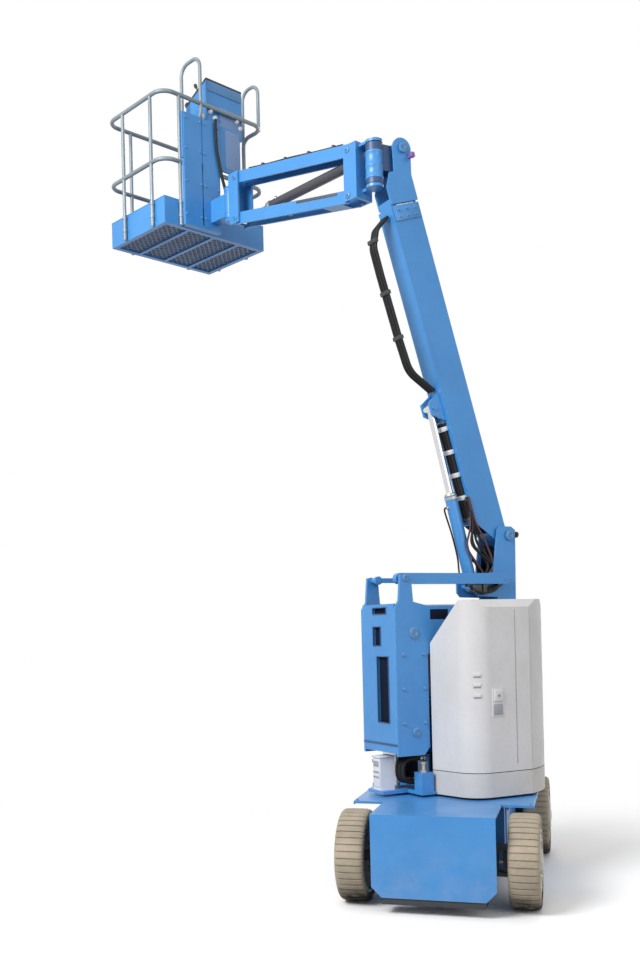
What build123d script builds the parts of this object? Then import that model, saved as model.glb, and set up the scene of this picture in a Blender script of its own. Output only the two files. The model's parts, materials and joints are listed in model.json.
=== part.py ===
from build123d import *
from math import copysign, cos, radians, sin, sqrt
import os

# Articulating boom lift, narrow electric type, with its basket raised.
# Millimetres, +Z up.  The origin is on the floor under the slewing axis, and +X
# is the way the main boom points.  The chassis stands turned under the turntable
# and the jib is swung to the machine's right, so each has a frame of its own.
os.makedirs("parts", exist_ok=True)

# ---------------------------------------------------------------- driving sizes
chassis_yaw = 47.0        # chassis front, turned left from the boom
boom_angle = 73.0         # main boom above the horizon
jib_swing = -74.0         # jib, turned right from the boom
jib_angle = 10.5          # jib above the horizon

wheel_base = 1600.0
track_half = 505.0        # wheel centre plane from the chassis centreline
tyre_radius = 280.0
tyre_width = 180.0
rim_radius = 225.0
kingpin_y = 400.0
axle_z = tyre_radius

deck_top = 585.0
deck_bottom = 570.0
chassis_bottom = 100.0
chassis_half = 360.0      # main box, half width
spine_half = 215.0        # between the steered wheels, half width
well_rear = 450.0         # where the steered wheels' wells begin
nose_rear = 1110.0        # rear face of the front plate, ahead of the tyres
nose_front = 1122.0
tail_end = -1090.0
fender_half = 550.0
fender_end = 660.0

tail_radius = 595.0       # everything on the tail stays inside this circle
tray_bottom = 600.0
tray_top = 750.0
cover_bottom = 755.0
cover_top = 1840.0
cover_inner = 215.0       # cover's inner edge from the centreline
cover_outer = 560.0
cover_front = 318.0       # front face at its inner edge
cover_corner = 245.0      # and at its outer edge
corner_round = 160.0      # bend between the front and the side
shell = 8.0               # wall of the moulded covers

arm_length = 850.0        # both riser arms, pin to pin
lower_pin = (-420.0, 1000.0)      # riser pins as (x, z)
link_rise = 170.0                 # lower link's pins above the arm's
upper_pin = (430.0, 1640.0)
ear_offset = (57.0, 353.0)        # upper link's pins from the upper arm's
boom_pivot = (-436.0, 2290.0)
lift_base = (-190.0, 1945.0)      # main lift cylinder's lower pin
riser_base = (-320.0, 720.0)      # riser cylinder's lower pin
riser_eye = (200.0, 885.0)        # where its rod takes the lower arm

boom_width = 150.0
boom_above = 10.0         # boom's top face from the pivot line
boom_below = -215.0       # boom's underside from the pivot line
boom_wall = 6.0
boom_end = 2300.0         # outer tube's mouth, along the boom
head_pin = (2650.0, -10.0)       # levelling pin, along and above the pivot line
lift_eye = (976.0, -283.0)
slide_gap = 5.0           # between the two boom tubes

swing_x = 166.0           # jib's swing axis ahead of the levelling pin
yoke_pin_s = 170.0        # jib root pins from the swing axis
jib_length = 1160.0       # jib arms, pin to pin
jib_low_drop = -268.0     # lower root pin from the levelling pin's height
jib_high_rise = 34.0     # upper root pin from the levelling pin's height
jib_cyl_rise = 232.0      # jib cylinder's root pin above the lower root pin
basket_turn_s = 130.0     # basket's turning axis beyond the jib's end pins

basket_rear = 255.0       # basket frame from its turning axis
basket_depth = 700.0
basket_half = 500.0
basket_offset = -60.0    # basket's middle, sideways from its turning axis
floor_bottom = 4765.0
floor_top = 4800.0
toe_top = 4965.0
mid_rail = 5250.0
top_rail = 5760.0
rail_radius = 16.0
upright_radius = 14.0      # rails' uprights and the two hoops

pin_fit = 0.5             # radial play at a pin


def heading(degrees, origin=(0, 0, 0)):
    """An upright frame whose x runs along a compass heading."""
    turn = radians(degrees)
    return Plane(origin=origin, x_dir=(cos(turn), sin(turn), 0), z_dir=(0, 0, 1))


def tilted(frame, origin, degrees):
    """A frame raised in the vertical plane of another frame's x axis."""
    turn = radians(degrees)
    x_axis = frame.x_dir * cos(turn) + frame.z_dir * sin(turn)
    z_axis = frame.z_dir * cos(turn) - frame.x_dir * sin(turn)
    return Plane(origin=origin, x_dir=x_axis, z_dir=z_axis)


def in_frame(frame, x, y, z):
    """World place of a point given in a frame."""
    return frame.from_local_coords(Vector(x, y, z))


def side_of(frame, y):
    """Sketching plane seen from a frame's left side, at that side's y."""
    return Plane(origin=in_frame(frame, 0, y, 0), x_dir=frame.x_dir, z_dir=-frame.y_dir)


def across(frame, x):
    """Sketching plane that faces forward along a frame, at a distance along it."""
    return Plane(origin=in_frame(frame, x, 0, 0), x_dir=frame.y_dir, z_dir=frame.x_dir)


def block(x0, x1, y0, y1, z0, z1, mode=Mode.ADD):
    """A box between two corners of the part's own frame."""
    with Locations(((x0 + x1) / 2, (y0 + y1) / 2, (z0 + z1) / 2)):
        Box(x1 - x0, y1 - y0, z1 - z0, mode=mode)


def plate(frame, y_high, thickness, points, mode=Mode.ADD):
    """A flat plate in a frame's side view, from y_high towards the right."""
    with BuildSketch(side_of(frame, y_high)) as outline:
        with BuildLine():
            Polyline(*points, close=True)
        make_face()
    extrude(outline.sketch, amount=thickness, mode=mode)


def bar(x, z, radius, y0, y1, mode=Mode.ADD):
    """A round bar or a bore across the part's own frame."""
    with Locations((x, (y0 + y1) / 2, z)):
        Cylinder(radius, y1 - y0, rotation=(90, 0, 0), mode=mode)


def post(x, y, radius, z0, z1, mode=Mode.ADD):
    """An upright round bar or bore."""
    with Locations((x, y, (z0 + z1) / 2)):
        Cylinder(radius, z1 - z0, mode=mode)


def rod(x0, x1, radius, y=0.0, z=0.0, mode=Mode.ADD):
    """A round bar along the part's own x axis."""
    with Locations(((x0 + x1) / 2, y, z)):
        Cylinder(radius, x1 - x0, rotation=(0, 90, 0), mode=mode)


def finish(builder, name):
    """Label a finished piece and write it."""
    builder.part.label = name
    export_step(builder.part, f"parts/{name}.step")


def two_sides(inner, outer):
    """The same layer of a part on its right and on its left."""
    return ((-outer, -inner), (inner, outer))


turntable = heading(0)
chassis = heading(chassis_yaw)
boom = tilted(turntable, (boom_pivot[0], 0, boom_pivot[1]), boom_angle)
head_place = in_frame(boom, head_pin[0], 0, head_pin[1])
head = heading(0, head_place)
jib_root = heading(jib_swing, (head_place.X + swing_x, 0, head_place.Z))

# ---------------------------------------------------------------- chassis
front_x = wheel_base / 2
steer_x = front_x - 158    # steering rod, behind the kingpins
steer_z = axle_z - 40
steer_pin_y = kingpin_y - 9
stub_end = 580.0           # stub axles reach into the wheels' hubs
with BuildPart(chassis) as chassis_frame:
    block(tail_end, well_rear, -chassis_half, chassis_half, chassis_bottom, deck_bottom)
    block(well_rear, nose_rear, -spine_half, spine_half, chassis_bottom + 30, deck_bottom)
    with BuildSketch(across(chassis, nose_rear)) as nose:
        with BuildLine():
            Polyline((-chassis_half, deck_bottom), (chassis_half, deck_bottom),
                     (chassis_half, chassis_bottom + 60), (chassis_half - 60, chassis_bottom),
                     (60 - chassis_half, chassis_bottom), (-chassis_half, chassis_bottom + 60),
                     close=True)
        make_face()
    extrude(amount=nose_front - nose_rear)
    block(tail_end, nose_front, -chassis_half, chassis_half, deck_bottom, deck_top)
    block(-fender_end, fender_end, -fender_half, fender_half, deck_bottom, deck_top)
    block(front_x - 50, front_x + 50, -spine_half, spine_half, axle_z - 50, axle_z + 50,
          mode=Mode.SUBTRACT)
    block(steer_x - 45, steer_x + 45, -spine_half, spine_half, chassis_bottom, 400,
          mode=Mode.SUBTRACT)
    post(0, 0, 290, deck_top, deck_top + 14)
finish(chassis_frame, "chassis_frame")

with BuildPart(chassis) as front_axle:
    block(front_x - 50, front_x + 50, -330, 330, axle_z - 50, axle_z + 50)
    for side in (-1, 1):
        for z0 in (axle_z - 90, axle_z + 65):
            y0, y1 = sorted((side * 330, side * 430))
            block(front_x - 42, front_x + 42, y0, y1, z0, z0 + 25)
        y0, y1 = sorted((side * 330, side * 350))
        block(front_x - 10, front_x + 42, y0, y1, axle_z - 90, axle_z + 90)
finish(front_axle, "front_axle")

for side, side_name in ((1, "left"), (-1, "right")):
    with BuildPart(chassis) as knuckle:
        king = side * kingpin_y
        post(front_x, king, 24, axle_z - 64, axle_z + 64)
        block(front_x - 34, front_x + 34, king - 24, king + 24, axle_z - 60, axle_z + 60)
        y0, y1 = sorted((king, side * stub_end))
        bar(front_x, axle_z, 30, y0, y1)
        pin_y = side * steer_pin_y
        block(steer_x - 58, front_x - 30, pin_y - 22, pin_y + 22, axle_z - 12, axle_z + 12)
        block(steer_x - 50, steer_x + 16, pin_y - 16, pin_y + 16, axle_z - 13, axle_z + 13,
              mode=Mode.SUBTRACT)
    finish(knuckle, f"knuckle_{side_name}")

with BuildPart(chassis) as steer_cylinder:
    bar(steer_x, steer_z, 30, -120, 120)
    block(steer_x - 18, steer_x + 18, -90, 90, steer_z, 400)
    bar(steer_x, steer_z, 14 + pin_fit, -120, 120, mode=Mode.SUBTRACT)
finish(steer_cylinder, "steer_cylinder")

with BuildPart(chassis) as steer_rod:
    bar(steer_x, steer_z, 14, -steer_pin_y - 14, steer_pin_y + 14)
    for side in (-1, 1):
        post(steer_x, side * steer_pin_y, 10, steer_z, axle_z + 10)
finish(steer_rod, "steer_rod")

with BuildPart(chassis) as drive_hubs:
    for side in (-1, 1):
        y0, y1 = sorted((side * chassis_half, side * 445))
        bar(-wheel_base / 2, axle_z, 110, y0, y1)
        y0, y1 = sorted((side * 445, side * stub_end))
        bar(-wheel_base / 2, axle_z, 75, y0, y1)
finish(drive_hubs, "drive_hubs")

# axle name, place along the chassis, hub bore, how far the bore runs in
wheel_table = (("front", wheel_base / 2, 30.0), ("rear", -wheel_base / 2, 75.0))
for axle_name, axle_x, hub_bore in wheel_table:
    for side, side_name in ((1, "left"), (-1, "right")):
        centre = in_frame(chassis, axle_x, side * track_half, axle_z)
        wheel = Plane(origin=centre, x_dir=chassis.x_dir, z_dir=chassis.y_dir * side)
        half = tyre_width / 2
        with BuildPart(wheel) as rim:
            Cylinder(rim_radius, tyre_width - 16)
            with Locations((0, 0, -10)):
                Cylinder(rim_radius - 14, tyre_width - 16 - 20, mode=Mode.SUBTRACT)
            with Locations((0, 0, half - 8)):
                Cylinder(rim_radius - 30, 20, mode=Mode.SUBTRACT)
            with Locations((0, 0, half - 25)):
                Cylinder(rim_radius - 5, 14)
            with Locations((0, 0, half - 15)):
                Cylinder(hub_bore + 42, 40)
            with Locations((0, 0, half - 45)):
                Cylinder(hub_bore + 22, 40)
            with Locations((0, 0, half - 65)):
                Cylinder(hub_bore + pin_fit, 160, mode=Mode.SUBTRACT)
            with Locations((0, 0, half - 2)):
                Cylinder(hub_bore + 42, 6)
        finish(rim, f"rim_{axle_name}_{side_name}")
        with BuildPart(wheel) as tyre:
            Cylinder(tyre_radius, tyre_width)
            chamfer(tyre.edges().filter_by(GeomType.CIRCLE), 12)
            Cylinder(rim_radius, tyre_width, mode=Mode.SUBTRACT)
        finish(tyre, f"tyre_{axle_name}_{side_name}")

# ---------------------------------------------------------------- turntable
base_low = deck_top + 15
base_high = base_low + 36
tower_inner, tower_outer = 100.0, 120.0
with BuildPart(turntable) as turntable_base:
    block(-545, 300, -cover_inner, cover_inner, base_low, base_high)
    block(300, 620, -90, 90, base_low, base_low + 22)
    block(323, 430, 80, 250, base_low, base_low + 22)
    block(335, 425, 160, 245, base_low, 742)
    block(286, 300, 20, 140, base_high, 845)
    for y0, y1 in two_sides(tower_inner, tower_outer):
        plate(turntable, y1, y1 - y0, (
            (-545, base_high), (-260, base_high), (-350, 1030), (-350, 1240),
            (-490, 1240), (-545, 1000)))
    for y0, y1 in two_sides(55, 75):
        block(riser_base[0] - 45, riser_base[0] + 45, y0, y1, base_high, riser_base[1] + 40)
    bar(riser_base[0], riser_base[1], 18, -75, 75)
    bar(lower_pin[0], lower_pin[1], 30, -tower_outer, tower_outer)
    for y0, y1 in two_sides(72, tower_outer):
        bar(lower_pin[0], lower_pin[1] + link_rise, 22, y0, y1)
finish(turntable_base, "turntable_base")

weight_half = 212.0
weight_rear = -sqrt(tail_radius ** 2 - weight_half ** 2)
with BuildPart(turntable) as counterweight:
    with BuildSketch(Plane.XY.offset(base_high)):
        with BuildLine():
            Polyline((weight_rear, weight_half), (-330, weight_half), (-330, -weight_half),
                     (weight_rear, -weight_half))
            ThreePointArc((weight_rear, -weight_half), (-tail_radius, 0), (weight_rear, weight_half))
        make_face()
    extrude(amount=1120 - base_high)
    block(-552, -300, -126, 126, base_high, 1120, mode=Mode.SUBTRACT)
finish(counterweight, "counterweight")


hinge_y = 292.0


def body_plan(z, inset):
    """Plan of the turntable body's left side at a height, set in by a wall."""
    reach = tail_radius - inset
    outer = cover_outer - inset
    front = cover_front - inset
    corner = cover_corner - inset
    side_x = -sqrt(reach ** 2 - outer ** 2)
    rear_x = -sqrt(reach ** 2 - hinge_y ** 2)
    inner = cover_inner if inset == 0 else cover_inner - 40
    middle = radians(128)
    with BuildSketch(Plane.XY.offset(z)) as plan:
        with BuildLine():
            Polyline((rear_x, hinge_y), (rear_x, inner), (front, inner), (corner, outer),
                     (side_x, outer))
            ThreePointArc((side_x, outer), (reach * cos(middle), reach * sin(middle)),
                          (rear_x, hinge_y))
        make_face()
        bend = plan.vertices().sort_by_distance((corner, outer, 0))[0]
        fillet(bend, corner_round - inset)
    return plan.sketch


def cover_section(inset):
    """Cross section of the covers, seen from the front, left side."""
    outer = cover_outer - inset
    top = cover_top - inset
    inner = cover_inner if inset == 0 else cover_inner - 40
    slope = (cover_top - 1570.0) / (454.0 - cover_inner)
    low = 1570.0 - inset * sqrt(1 + slope ** 2) - (0 if inset == 0 else 40 * slope)
    with BuildSketch(across(turntable, -700)) as section:
        with BuildLine():
            Polyline((inner, cover_bottom - 20), (outer, cover_bottom - 20), (outer, top - 50),
                     (outer - 40, top), (454.0 + inset * 0.5, top), (inner, low), close=True)
        make_face()
    return section.sketch


with BuildPart(turntable) as tray:
    extrude(body_plan(tray_bottom, 0), amount=tray_top - tray_bottom)
    extrude(body_plan(tray_bottom + 36, shell), amount=tray_top - tray_bottom, mode=Mode.SUBTRACT)

with BuildPart(turntable) as cover_core:
    extrude(body_plan(cover_bottom - 10, shell), amount=1200)
    extrude(cover_section(shell), amount=1200, mode=Mode.INTERSECT)

with BuildPart(turntable) as cover:
    extrude(body_plan(cover_bottom, 0), amount=cover_top - cover_bottom)
    extrude(cover_section(0), amount=1200, mode=Mode.INTERSECT)
    add(cover_core.part, mode=Mode.SUBTRACT)
    post(-sqrt(tail_radius ** 2 - hinge_y ** 2), hinge_y, 9, cover_bottom, cover_top - 60)

for side_name, flip in (("left", False), ("right", True)):
    for piece_name, source in (("tray", tray), ("cover", cover)):
        with BuildPart() as piece:
            add(source.part)
            if flip:
                mirror(about=Plane.XZ, mode=Mode.REPLACE)
        finish(piece, f"{piece_name}_{side_name}")

# piece name, x0, x1, y0, y1, z0, z1
inside_table = (
    ("battery_pack", -215, 165, 240, 520, 640, 1150),
    ("hydraulic_power_unit", -215, 165, -520, -240, 640, 1050),
    ("ground_control_box", 505, 610, -40, 50, base_low + 22, 838),
)
for name, x0, x1, y0, y1, z0, z1 in inside_table:
    with BuildPart(turntable) as inside_piece:
        block(x0, x1, y0, y1, z0, z1)
    finish(inside_piece, name)

foot_bend = 60.0
foot_route = ((301, 668), (478, 668), (478, 818), (301, 818))
with BuildPart(turntable) as riser_hoses:
    for y in (42, 76, 110):
        with BuildLine(side_of(turntable, y)) as route:
            FilletPolyline(*foot_route, radius=foot_bend)
        with BuildSketch(Plane(origin=route.line @ 0, z_dir=route.line % 0)) as section:
            Circle(13)
        sweep(section.sketch, path=route.line)
finish(riser_hoses, "riser_hoses")

# ---------------------------------------------------------------- riser
with BuildPart(turntable) as lower_arm:
    x0, z0 = lower_pin
    block(x0, x0 + arm_length, -60, 60, z0 - 70, z0 + 70)
    bar(x0, z0, 70, -60, 60)
    bar(x0 + arm_length, z0, 70, -60, 60)
    bar(x0, z0, 30 + pin_fit, -60, 60, mode=Mode.SUBTRACT)
    bar(x0 + arm_length, z0, 30 + pin_fit, -60, 60, mode=Mode.SUBTRACT)
    block(x0 + 90, x0 + arm_length - 90, -52, 52, z0 - 62, z0 + 62, mode=Mode.SUBTRACT)
    for y0, y1 in two_sides(36, 50):
        plate(turntable, y1, y1 - y0, (
            (riser_eye[0] - 40, riser_eye[1] - 38), (riser_eye[0] + 40, riser_eye[1] - 38),
            (riser_eye[0] + 70, z0 - 70), (riser_eye[0] - 70, z0 - 70)))
        bar(riser_eye[0], riser_eye[1], 18, *sorted((copysign(34, y0), copysign(58, y0))))
finish(lower_arm, "lower_arm")

with BuildPart(turntable) as lower_link:
    x0, z0 = lower_pin[0], lower_pin[1] + link_rise
    for y0, y1 in two_sides(72, 92):
        block(x0, x0 + arm_length, y0, y1, z0 - 30, z0 + 30)
        for x in (x0, x0 + arm_length):
            bar(x, z0, 30, y0, y1)
            bar(x, z0, 22 + pin_fit, y0, y1, mode=Mode.SUBTRACT)
finish(lower_link, "lower_link")

ear_x, ear_z = upper_pin[0] + ear_offset[0], upper_pin[1] + ear_offset[1]
plate_in, plate_out = 186.0, 206.0
ear_low, ear_high = ear_x - 54, ear_x + 54
with BuildPart(turntable) as mid_pivot:
    for y0, y1 in two_sides(plate_in, plate_out):
        plate(turntable, y1, y1 - y0, (
            (330, 900), (372, 852), (573, 852), (573, 1800), (ear_high, 1850),
            (ear_high - 14, ear_z + 20), (ear_low + 14, ear_z + 20), (ear_low, 1840), (330, 1815),
            (110, 1815), (110, 1640), (330, 1500)))
    block(553, 573, -plate_in, plate_in, 870, 1830)
    # web openings as y0, y1, z0, z1
    for y0, y1, z0, z1 in ((-20, 115, 1060, 1490), (-60, 30, 1560, 1684), (-60, 100, 1766, 1808)):
        block(540, 580, y0, y1, z0, z1, mode=Mode.SUBTRACT)
    bar(lower_pin[0] + arm_length, lower_pin[1], 30, -64, 64)
    bar(lower_pin[0] + arm_length, lower_pin[1], 22, -plate_in, plate_in)
    bar(upper_pin[0], upper_pin[1], 30, -plate_in, plate_in)
    for y0, y1 in two_sides(72, plate_in):
        bar(lower_pin[0] + arm_length, lower_pin[1] + link_rise, 22, y0, y1)
    for y0, y1 in two_sides(108, plate_in):
        bar(ear_x, ear_z, 17, y0, y1)
finish(mid_pivot, "mid_pivot")

with BuildPart(turntable) as upper_arm:
    x1, z0 = upper_pin
    x0 = x1 - arm_length
    block(x0, x1, -60, 60, z0 - 70, z0 + 70)
    for x in (x0, x1):
        bar(x, z0, 70, -60, 60)
        bar(x, z0, 30 + pin_fit, -60, 60, mode=Mode.SUBTRACT)
    block(x0 + 90, x1 - 90, -52, 52, z0 - 62, z0 + 62, mode=Mode.SUBTRACT)
finish(upper_arm, "upper_arm")

with BuildPart(turntable) as upper_link:
    # y0, y1, half height
    for y0, y1, half in ((110, 150, 36), (-136, -110, 16)):
        block(ear_x - arm_length, ear_x, y0, y1, ear_z - half, ear_z + half)
        for x in (ear_x - arm_length, ear_x):
            bar(x, ear_z, max(half, 28), y0, y1)
            bar(x, ear_z, 17 + pin_fit, y0, y1, mode=Mode.SUBTRACT)
finish(upper_link, "upper_link")

cheek_in, cheek_out = 90.0, 104.0
with BuildPart(turntable) as upper_pivot:
    rear_x, rear_z = upper_pin[0] - arm_length, upper_pin[1]
    for y0, y1 in two_sides(cheek_in, cheek_out):
        plate(turntable, y1, y1 - y0, (
            (-478, 1600), (-400, 1570), (-350, 1600), (-330, 1870), (-165, 1875),
            (-135, 1905), (-135, 1985), (-165, 2020), (-300, 2040), (-340, 2330), (-370, 2352),
            (-455, 2352), (-488, 2330), (-488, 2200)))
    bar(rear_x, rear_z, 30, -cheek_out, cheek_out)
    bar(boom_pivot[0], boom_pivot[1], 28, -cheek_out - 12, cheek_out + 12)
    bar(lift_base[0], lift_base[1], 18, -cheek_out, cheek_out)
    block(-478, -462, -cheek_in, cheek_in, 1760, 2150)
    for y0, y1 in two_sides(cheek_out, 152):
        bar(ear_x - arm_length, ear_z, 17, y0, y1)
finish(upper_pivot, "upper_pivot")


def cylinder_pair(name, frame, start, end, barrel_radius, rod_radius, barrel_length,
                  closed_length, pin_radius, eye_width):
    """A hydraulic cylinder: a barrel on its lower pin and a rod with an eye."""
    dx, dz = end[0] - start[0], end[1] - start[1]
    length = sqrt(dx ** 2 + dz ** 2)
    place = in_frame(frame, start[0], 0, start[1])
    x_axis = frame.x_dir * (dx / length) + frame.z_dir * (dz / length)
    z_axis = frame.z_dir * (dx / length) - frame.x_dir * (dz / length)
    line = Plane(origin=place, x_dir=x_axis, z_dir=z_axis)
    with BuildPart(line) as barrel:
        rod(20, barrel_length, barrel_radius)
        bar(0, 0, barrel_radius * 0.85, -eye_width / 2, eye_width / 2)
        rod(barrel_radius, barrel_length + 1, rod_radius + 1, mode=Mode.SUBTRACT)
        bar(0, 0, pin_radius + pin_fit, -eye_width / 2, eye_width / 2, mode=Mode.SUBTRACT)
    finish(barrel, f"{name}_barrel")
    with BuildPart(line) as piston_rod:
        rod(length - closed_length + barrel_radius + 6, length - rod_radius, rod_radius)
        bar(length, 0, barrel_radius * 0.75, -eye_width / 2, eye_width / 2)
        bar(length, 0, pin_radius + pin_fit, -eye_width / 2, eye_width / 2, mode=Mode.SUBTRACT)
    finish(piston_rod, f"{name}_rod")


lift_end = in_frame(boom, lift_eye[0], 0, lift_eye[1])
cylinder_pair("riser_cylinder", turntable, riser_base, riser_eye, 45, 25, 400, 540, 18, 60)
cylinder_pair("lift_cylinder", turntable, lift_base, (lift_end.X, lift_end.Z), 42, 24, 640, 725,
              18, 70)

# ---------------------------------------------------------------- main boom
half = boom_width / 2
with BuildPart(boom) as main_boom:
    plate(boom, half, boom_width, (
        (-45, boom_above), (boom_end, boom_above), (boom_end, boom_below),
        (150, boom_below), (-45, -60)))
    block(60, boom_end + 1, -half + boom_wall, half - boom_wall,
          boom_below + boom_wall, boom_above - boom_wall, mode=Mode.SUBTRACT)
    bar(0, 0, 28 + pin_fit, -half, half, mode=Mode.SUBTRACT)
    for y0, y1 in two_sides(38, 52):
        plate(boom, y1, y1 - y0, (
            (lift_eye[0] - 110, boom_below + 2), (lift_eye[0] + 90, boom_below + 2),
            (lift_eye[0] + 40, lift_eye[1] - 34), (lift_eye[0] - 40, lift_eye[1] - 34)))
        bar(lift_eye[0], lift_eye[1], 18, *sorted((copysign(38, y0), copysign(60, y0))))
finish(main_boom, "main_boom")

inner_half = half - boom_wall - slide_gap
inner_top = boom_above - boom_wall - slide_gap
inner_bottom = boom_below + boom_wall + slide_gap
tube_end = boom_end + 50
fork_in, fork_out = 64.0, 78.0
shoulder = head_pin[0] - 135
with BuildPart(boom) as boom_extension:
    block(350, tube_end, -inner_half, inner_half, inner_bottom, inner_top)
    block(340, tube_end + 1, -inner_half + 8, inner_half - 8, inner_bottom + 8, inner_top - 8,
          mode=Mode.SUBTRACT)
    for y0, y1 in two_sides(inner_half, fork_out):
        block(boom_end + 12, tube_end, y0, y1, inner_bottom, inner_top)
    for y0, y1 in two_sides(fork_in, fork_out):
        plate(boom, y1, y1 - y0, (
            (boom_end + 12, boom_above), (boom_end + 12, inner_bottom),
            (shoulder - 90, inner_bottom), (shoulder, inner_bottom + 50), (shoulder, -115), (head_pin[0], head_pin[1] - 70), (head_pin[0], head_pin[1] + 70),
            (shoulder - 40, boom_above)))
        bar(head_pin[0], head_pin[1], 70, y0, y1)
    bar(head_pin[0], head_pin[1], 24, -fork_out - 14, fork_out + 14)
finish(boom_extension, "boom_extension")

hose_radius = 11.0
# along the boom, above the pivot line
loop_route = ((2250, -228), (2185, -330), (2080, -384), (1900, -386), (1480, -380),
              (1250, -368), (1085, -230))
with BuildPart(boom) as boom_hoses:
    for y in (-28, 0, 28):
        with BuildLine(side_of(boom, y)) as route:
            FilletPolyline(*loop_route, radius=(60, 120, 400, 700, 170))
        with BuildSketch(Plane(origin=route.line @ 0, z_dir=route.line % 0)):
            Circle(hose_radius)
        sweep()
        rod(190, 860, hose_radius, y=y, z=boom_below - hose_radius - 1)
finish(boom_hoses, "boom_hoses")

# ---------------------------------------------------------------- boom head and jib
housing_low, housing_high = -238.0, 28.0
with BuildPart(head) as level_block:
    bar(0, 0, 56, -60, 60)
    block(20, swing_x, -42, 42, -150, 20)
    post(swing_x, 0, 56, housing_low, housing_high)
    post(swing_x, 0, 24 + pin_fit, housing_low, housing_high, mode=Mode.SUBTRACT)
    bar(0, 0, 24 + pin_fit, -60, 60, mode=Mode.SUBTRACT)
finish(level_block, "level_block")

lug_in, lug_out = 62.0, 77.0
low_pin = (yoke_pin_s, jib_low_drop)
high_pin = (yoke_pin_s, jib_high_rise)
cyl_pin = (yoke_pin_s, jib_low_drop + jib_cyl_rise)
yoke_low, yoke_high = jib_low_drop - 34, jib_high_rise + 34
web_near, web_far = 92.0, 116.0
with BuildPart(jib_root) as jib_yoke:
    for z0, neck in ((housing_high + 5, 46), (housing_low - 23, 20)):
        post(0, 0, 58, z0, z0 + 18)
        block(0, web_far, -neck, neck, z0, z0 + 18)
    post(0, 0, 24, housing_low - 23, housing_high + 23)
    block(web_near, web_far, -lug_out, lug_out, yoke_low, yoke_high)
    for y0, y1 in two_sides(lug_in, lug_out):
        block(web_far, yoke_pin_s + 34, y0, y1, yoke_low, yoke_high)
        for pin in (low_pin, high_pin):
            bar(pin[0], pin[1], 15, max(y0 - 17, -lug_out), min(y1 + 17, lug_out))
    for y0, y1 in two_sides(36, 44):
        block(web_far, cyl_pin[0] + 18, y0, y1, cyl_pin[1] - 20, cyl_pin[1] + 20)
    bar(cyl_pin[0], cyl_pin[1], 14, -44, 44)
finish(jib_yoke, "jib_yoke")

jib_dx, jib_dz = jib_length * cos(radians(jib_angle)), jib_length * sin(radians(jib_angle))
side_in, side_out = 47.0, 59.0
# name, root pin, below and above the pin line, closing plate's depth and its far end
arm_table = (("jib_upper_arm", high_pin, -40, 44, 38, 44, jib_length - 70),
             ("jib_lower_arm", low_pin, -44, 40, -44, -38, 260))
for name, pin, low, high, web_low, web_high, web_end in arm_table:
    frame = tilted(jib_root, in_frame(jib_root, pin[0], 0, pin[1]), jib_angle)
    with BuildPart(frame) as jib_arm:
        for y0, y1 in two_sides(side_in, side_out):
            block(0, jib_length, y0, y1, low, high)
            for x in (0, jib_length):
                bar(x, 0, 32, y0, y1)
        block(70, web_end, -side_out, side_out, web_low, web_high)
        for x in (0, jib_length):
            bar(x, 0, 15 + pin_fit, -side_out, side_out, mode=Mode.SUBTRACT)
    finish(jib_arm, name)

end_s = yoke_pin_s + jib_dx
end_low = jib_low_drop + jib_dz
end_high = jib_high_rise + jib_dz
with BuildPart(jib_root) as jib_end:
    for y0, y1 in two_sides(lug_in, lug_out):
        block(end_s - 36, end_s + 60, y0, y1, end_low - 38, end_high + 38)
        for z in (end_low, end_high):
            bar(end_s, z, 15, max(y0 - 17, -lug_out), min(y1 + 17, lug_out))
    block(end_s + 50, end_s + 70, -lug_out, lug_out, end_low - 15, end_high + 38)
    for z0 in (end_low + 22, end_high - 42):
        block(end_s + 60, end_s + basket_turn_s, -50, 50, z0, z0 + 20)
        post(end_s + basket_turn_s, 0, 50, z0, z0 + 20)
    post(end_s + basket_turn_s, 0, 20, end_low + 22, end_high - 22)
finish(jib_end, "jib_end")

cylinder_pair("jib_cylinder", jib_root, cyl_pin, (end_s, end_low), 34, 18, 850, 930, 14, 66)

# ---------------------------------------------------------------- basket
turn_place = in_frame(jib_root, end_s + basket_turn_s, 0, 0)
basket = heading(jib_swing, (turn_place.X, turn_place.Y, 0))
mount_low = head_place.Z + end_low + 46
mount_high = head_place.Z + end_high - 46
right_y, left_y = basket_offset - basket_half, basket_offset + basket_half
front_x = basket_rear + basket_depth

panel_rear, panel_front = basket_rear - 62, basket_rear - 34
with BuildPart(basket) as basket_mount:
    post(0, 0, 50, mount_low, mount_high)
    block(0, panel_rear + 4, -40, 40, mount_low + 20, mount_high - 20)
    post(0, 0, 20 + pin_fit, mount_low, mount_high, mode=Mode.SUBTRACT)
    block(panel_rear, panel_front, -60, 105, floor_bottom + 5, 5620)
    block(panel_rear, panel_front, 120, 290, floor_bottom + 5, 5620)
    block(panel_rear + 6, panel_front - 6, -280, 300, 5270, 5620)
    block(panel_rear, basket_rear, -60, 270, floor_bottom + 5, floor_bottom + 30)
finish(basket_mount, "basket_mount")

with BuildPart(basket) as basket_floor:
    block(basket_rear, front_x, right_y, left_y, floor_bottom, floor_top)
    block(basket_rear + 40, front_x - 40, right_y + 40, left_y - 40, floor_bottom - 1,
          floor_top - 5, mode=Mode.SUBTRACT)
    for i in range(1, 4):
        y = right_y + i * (left_y - right_y) / 4
        block(basket_rear + 40, front_x - 40, y - 15, y + 15, floor_bottom, floor_top - 5)
    block(basket_rear, front_x, right_y, left_y, floor_top, toe_top)
    block(basket_rear + 4, front_x - 4, right_y + 4, left_y - 4, floor_top, toe_top + 1,
          mode=Mode.SUBTRACT)
finish(basket_floor, "basket_floor")


rail_out = rail_radius    # rails' centreline outside the floor
ring_rear, ring_front = basket_rear - rail_out, front_x + rail_out
ring_right, ring_left = right_y - rail_out, left_y + rail_out
gate_rear, gate_front = ring_rear + 250, ring_front - 130


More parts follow.
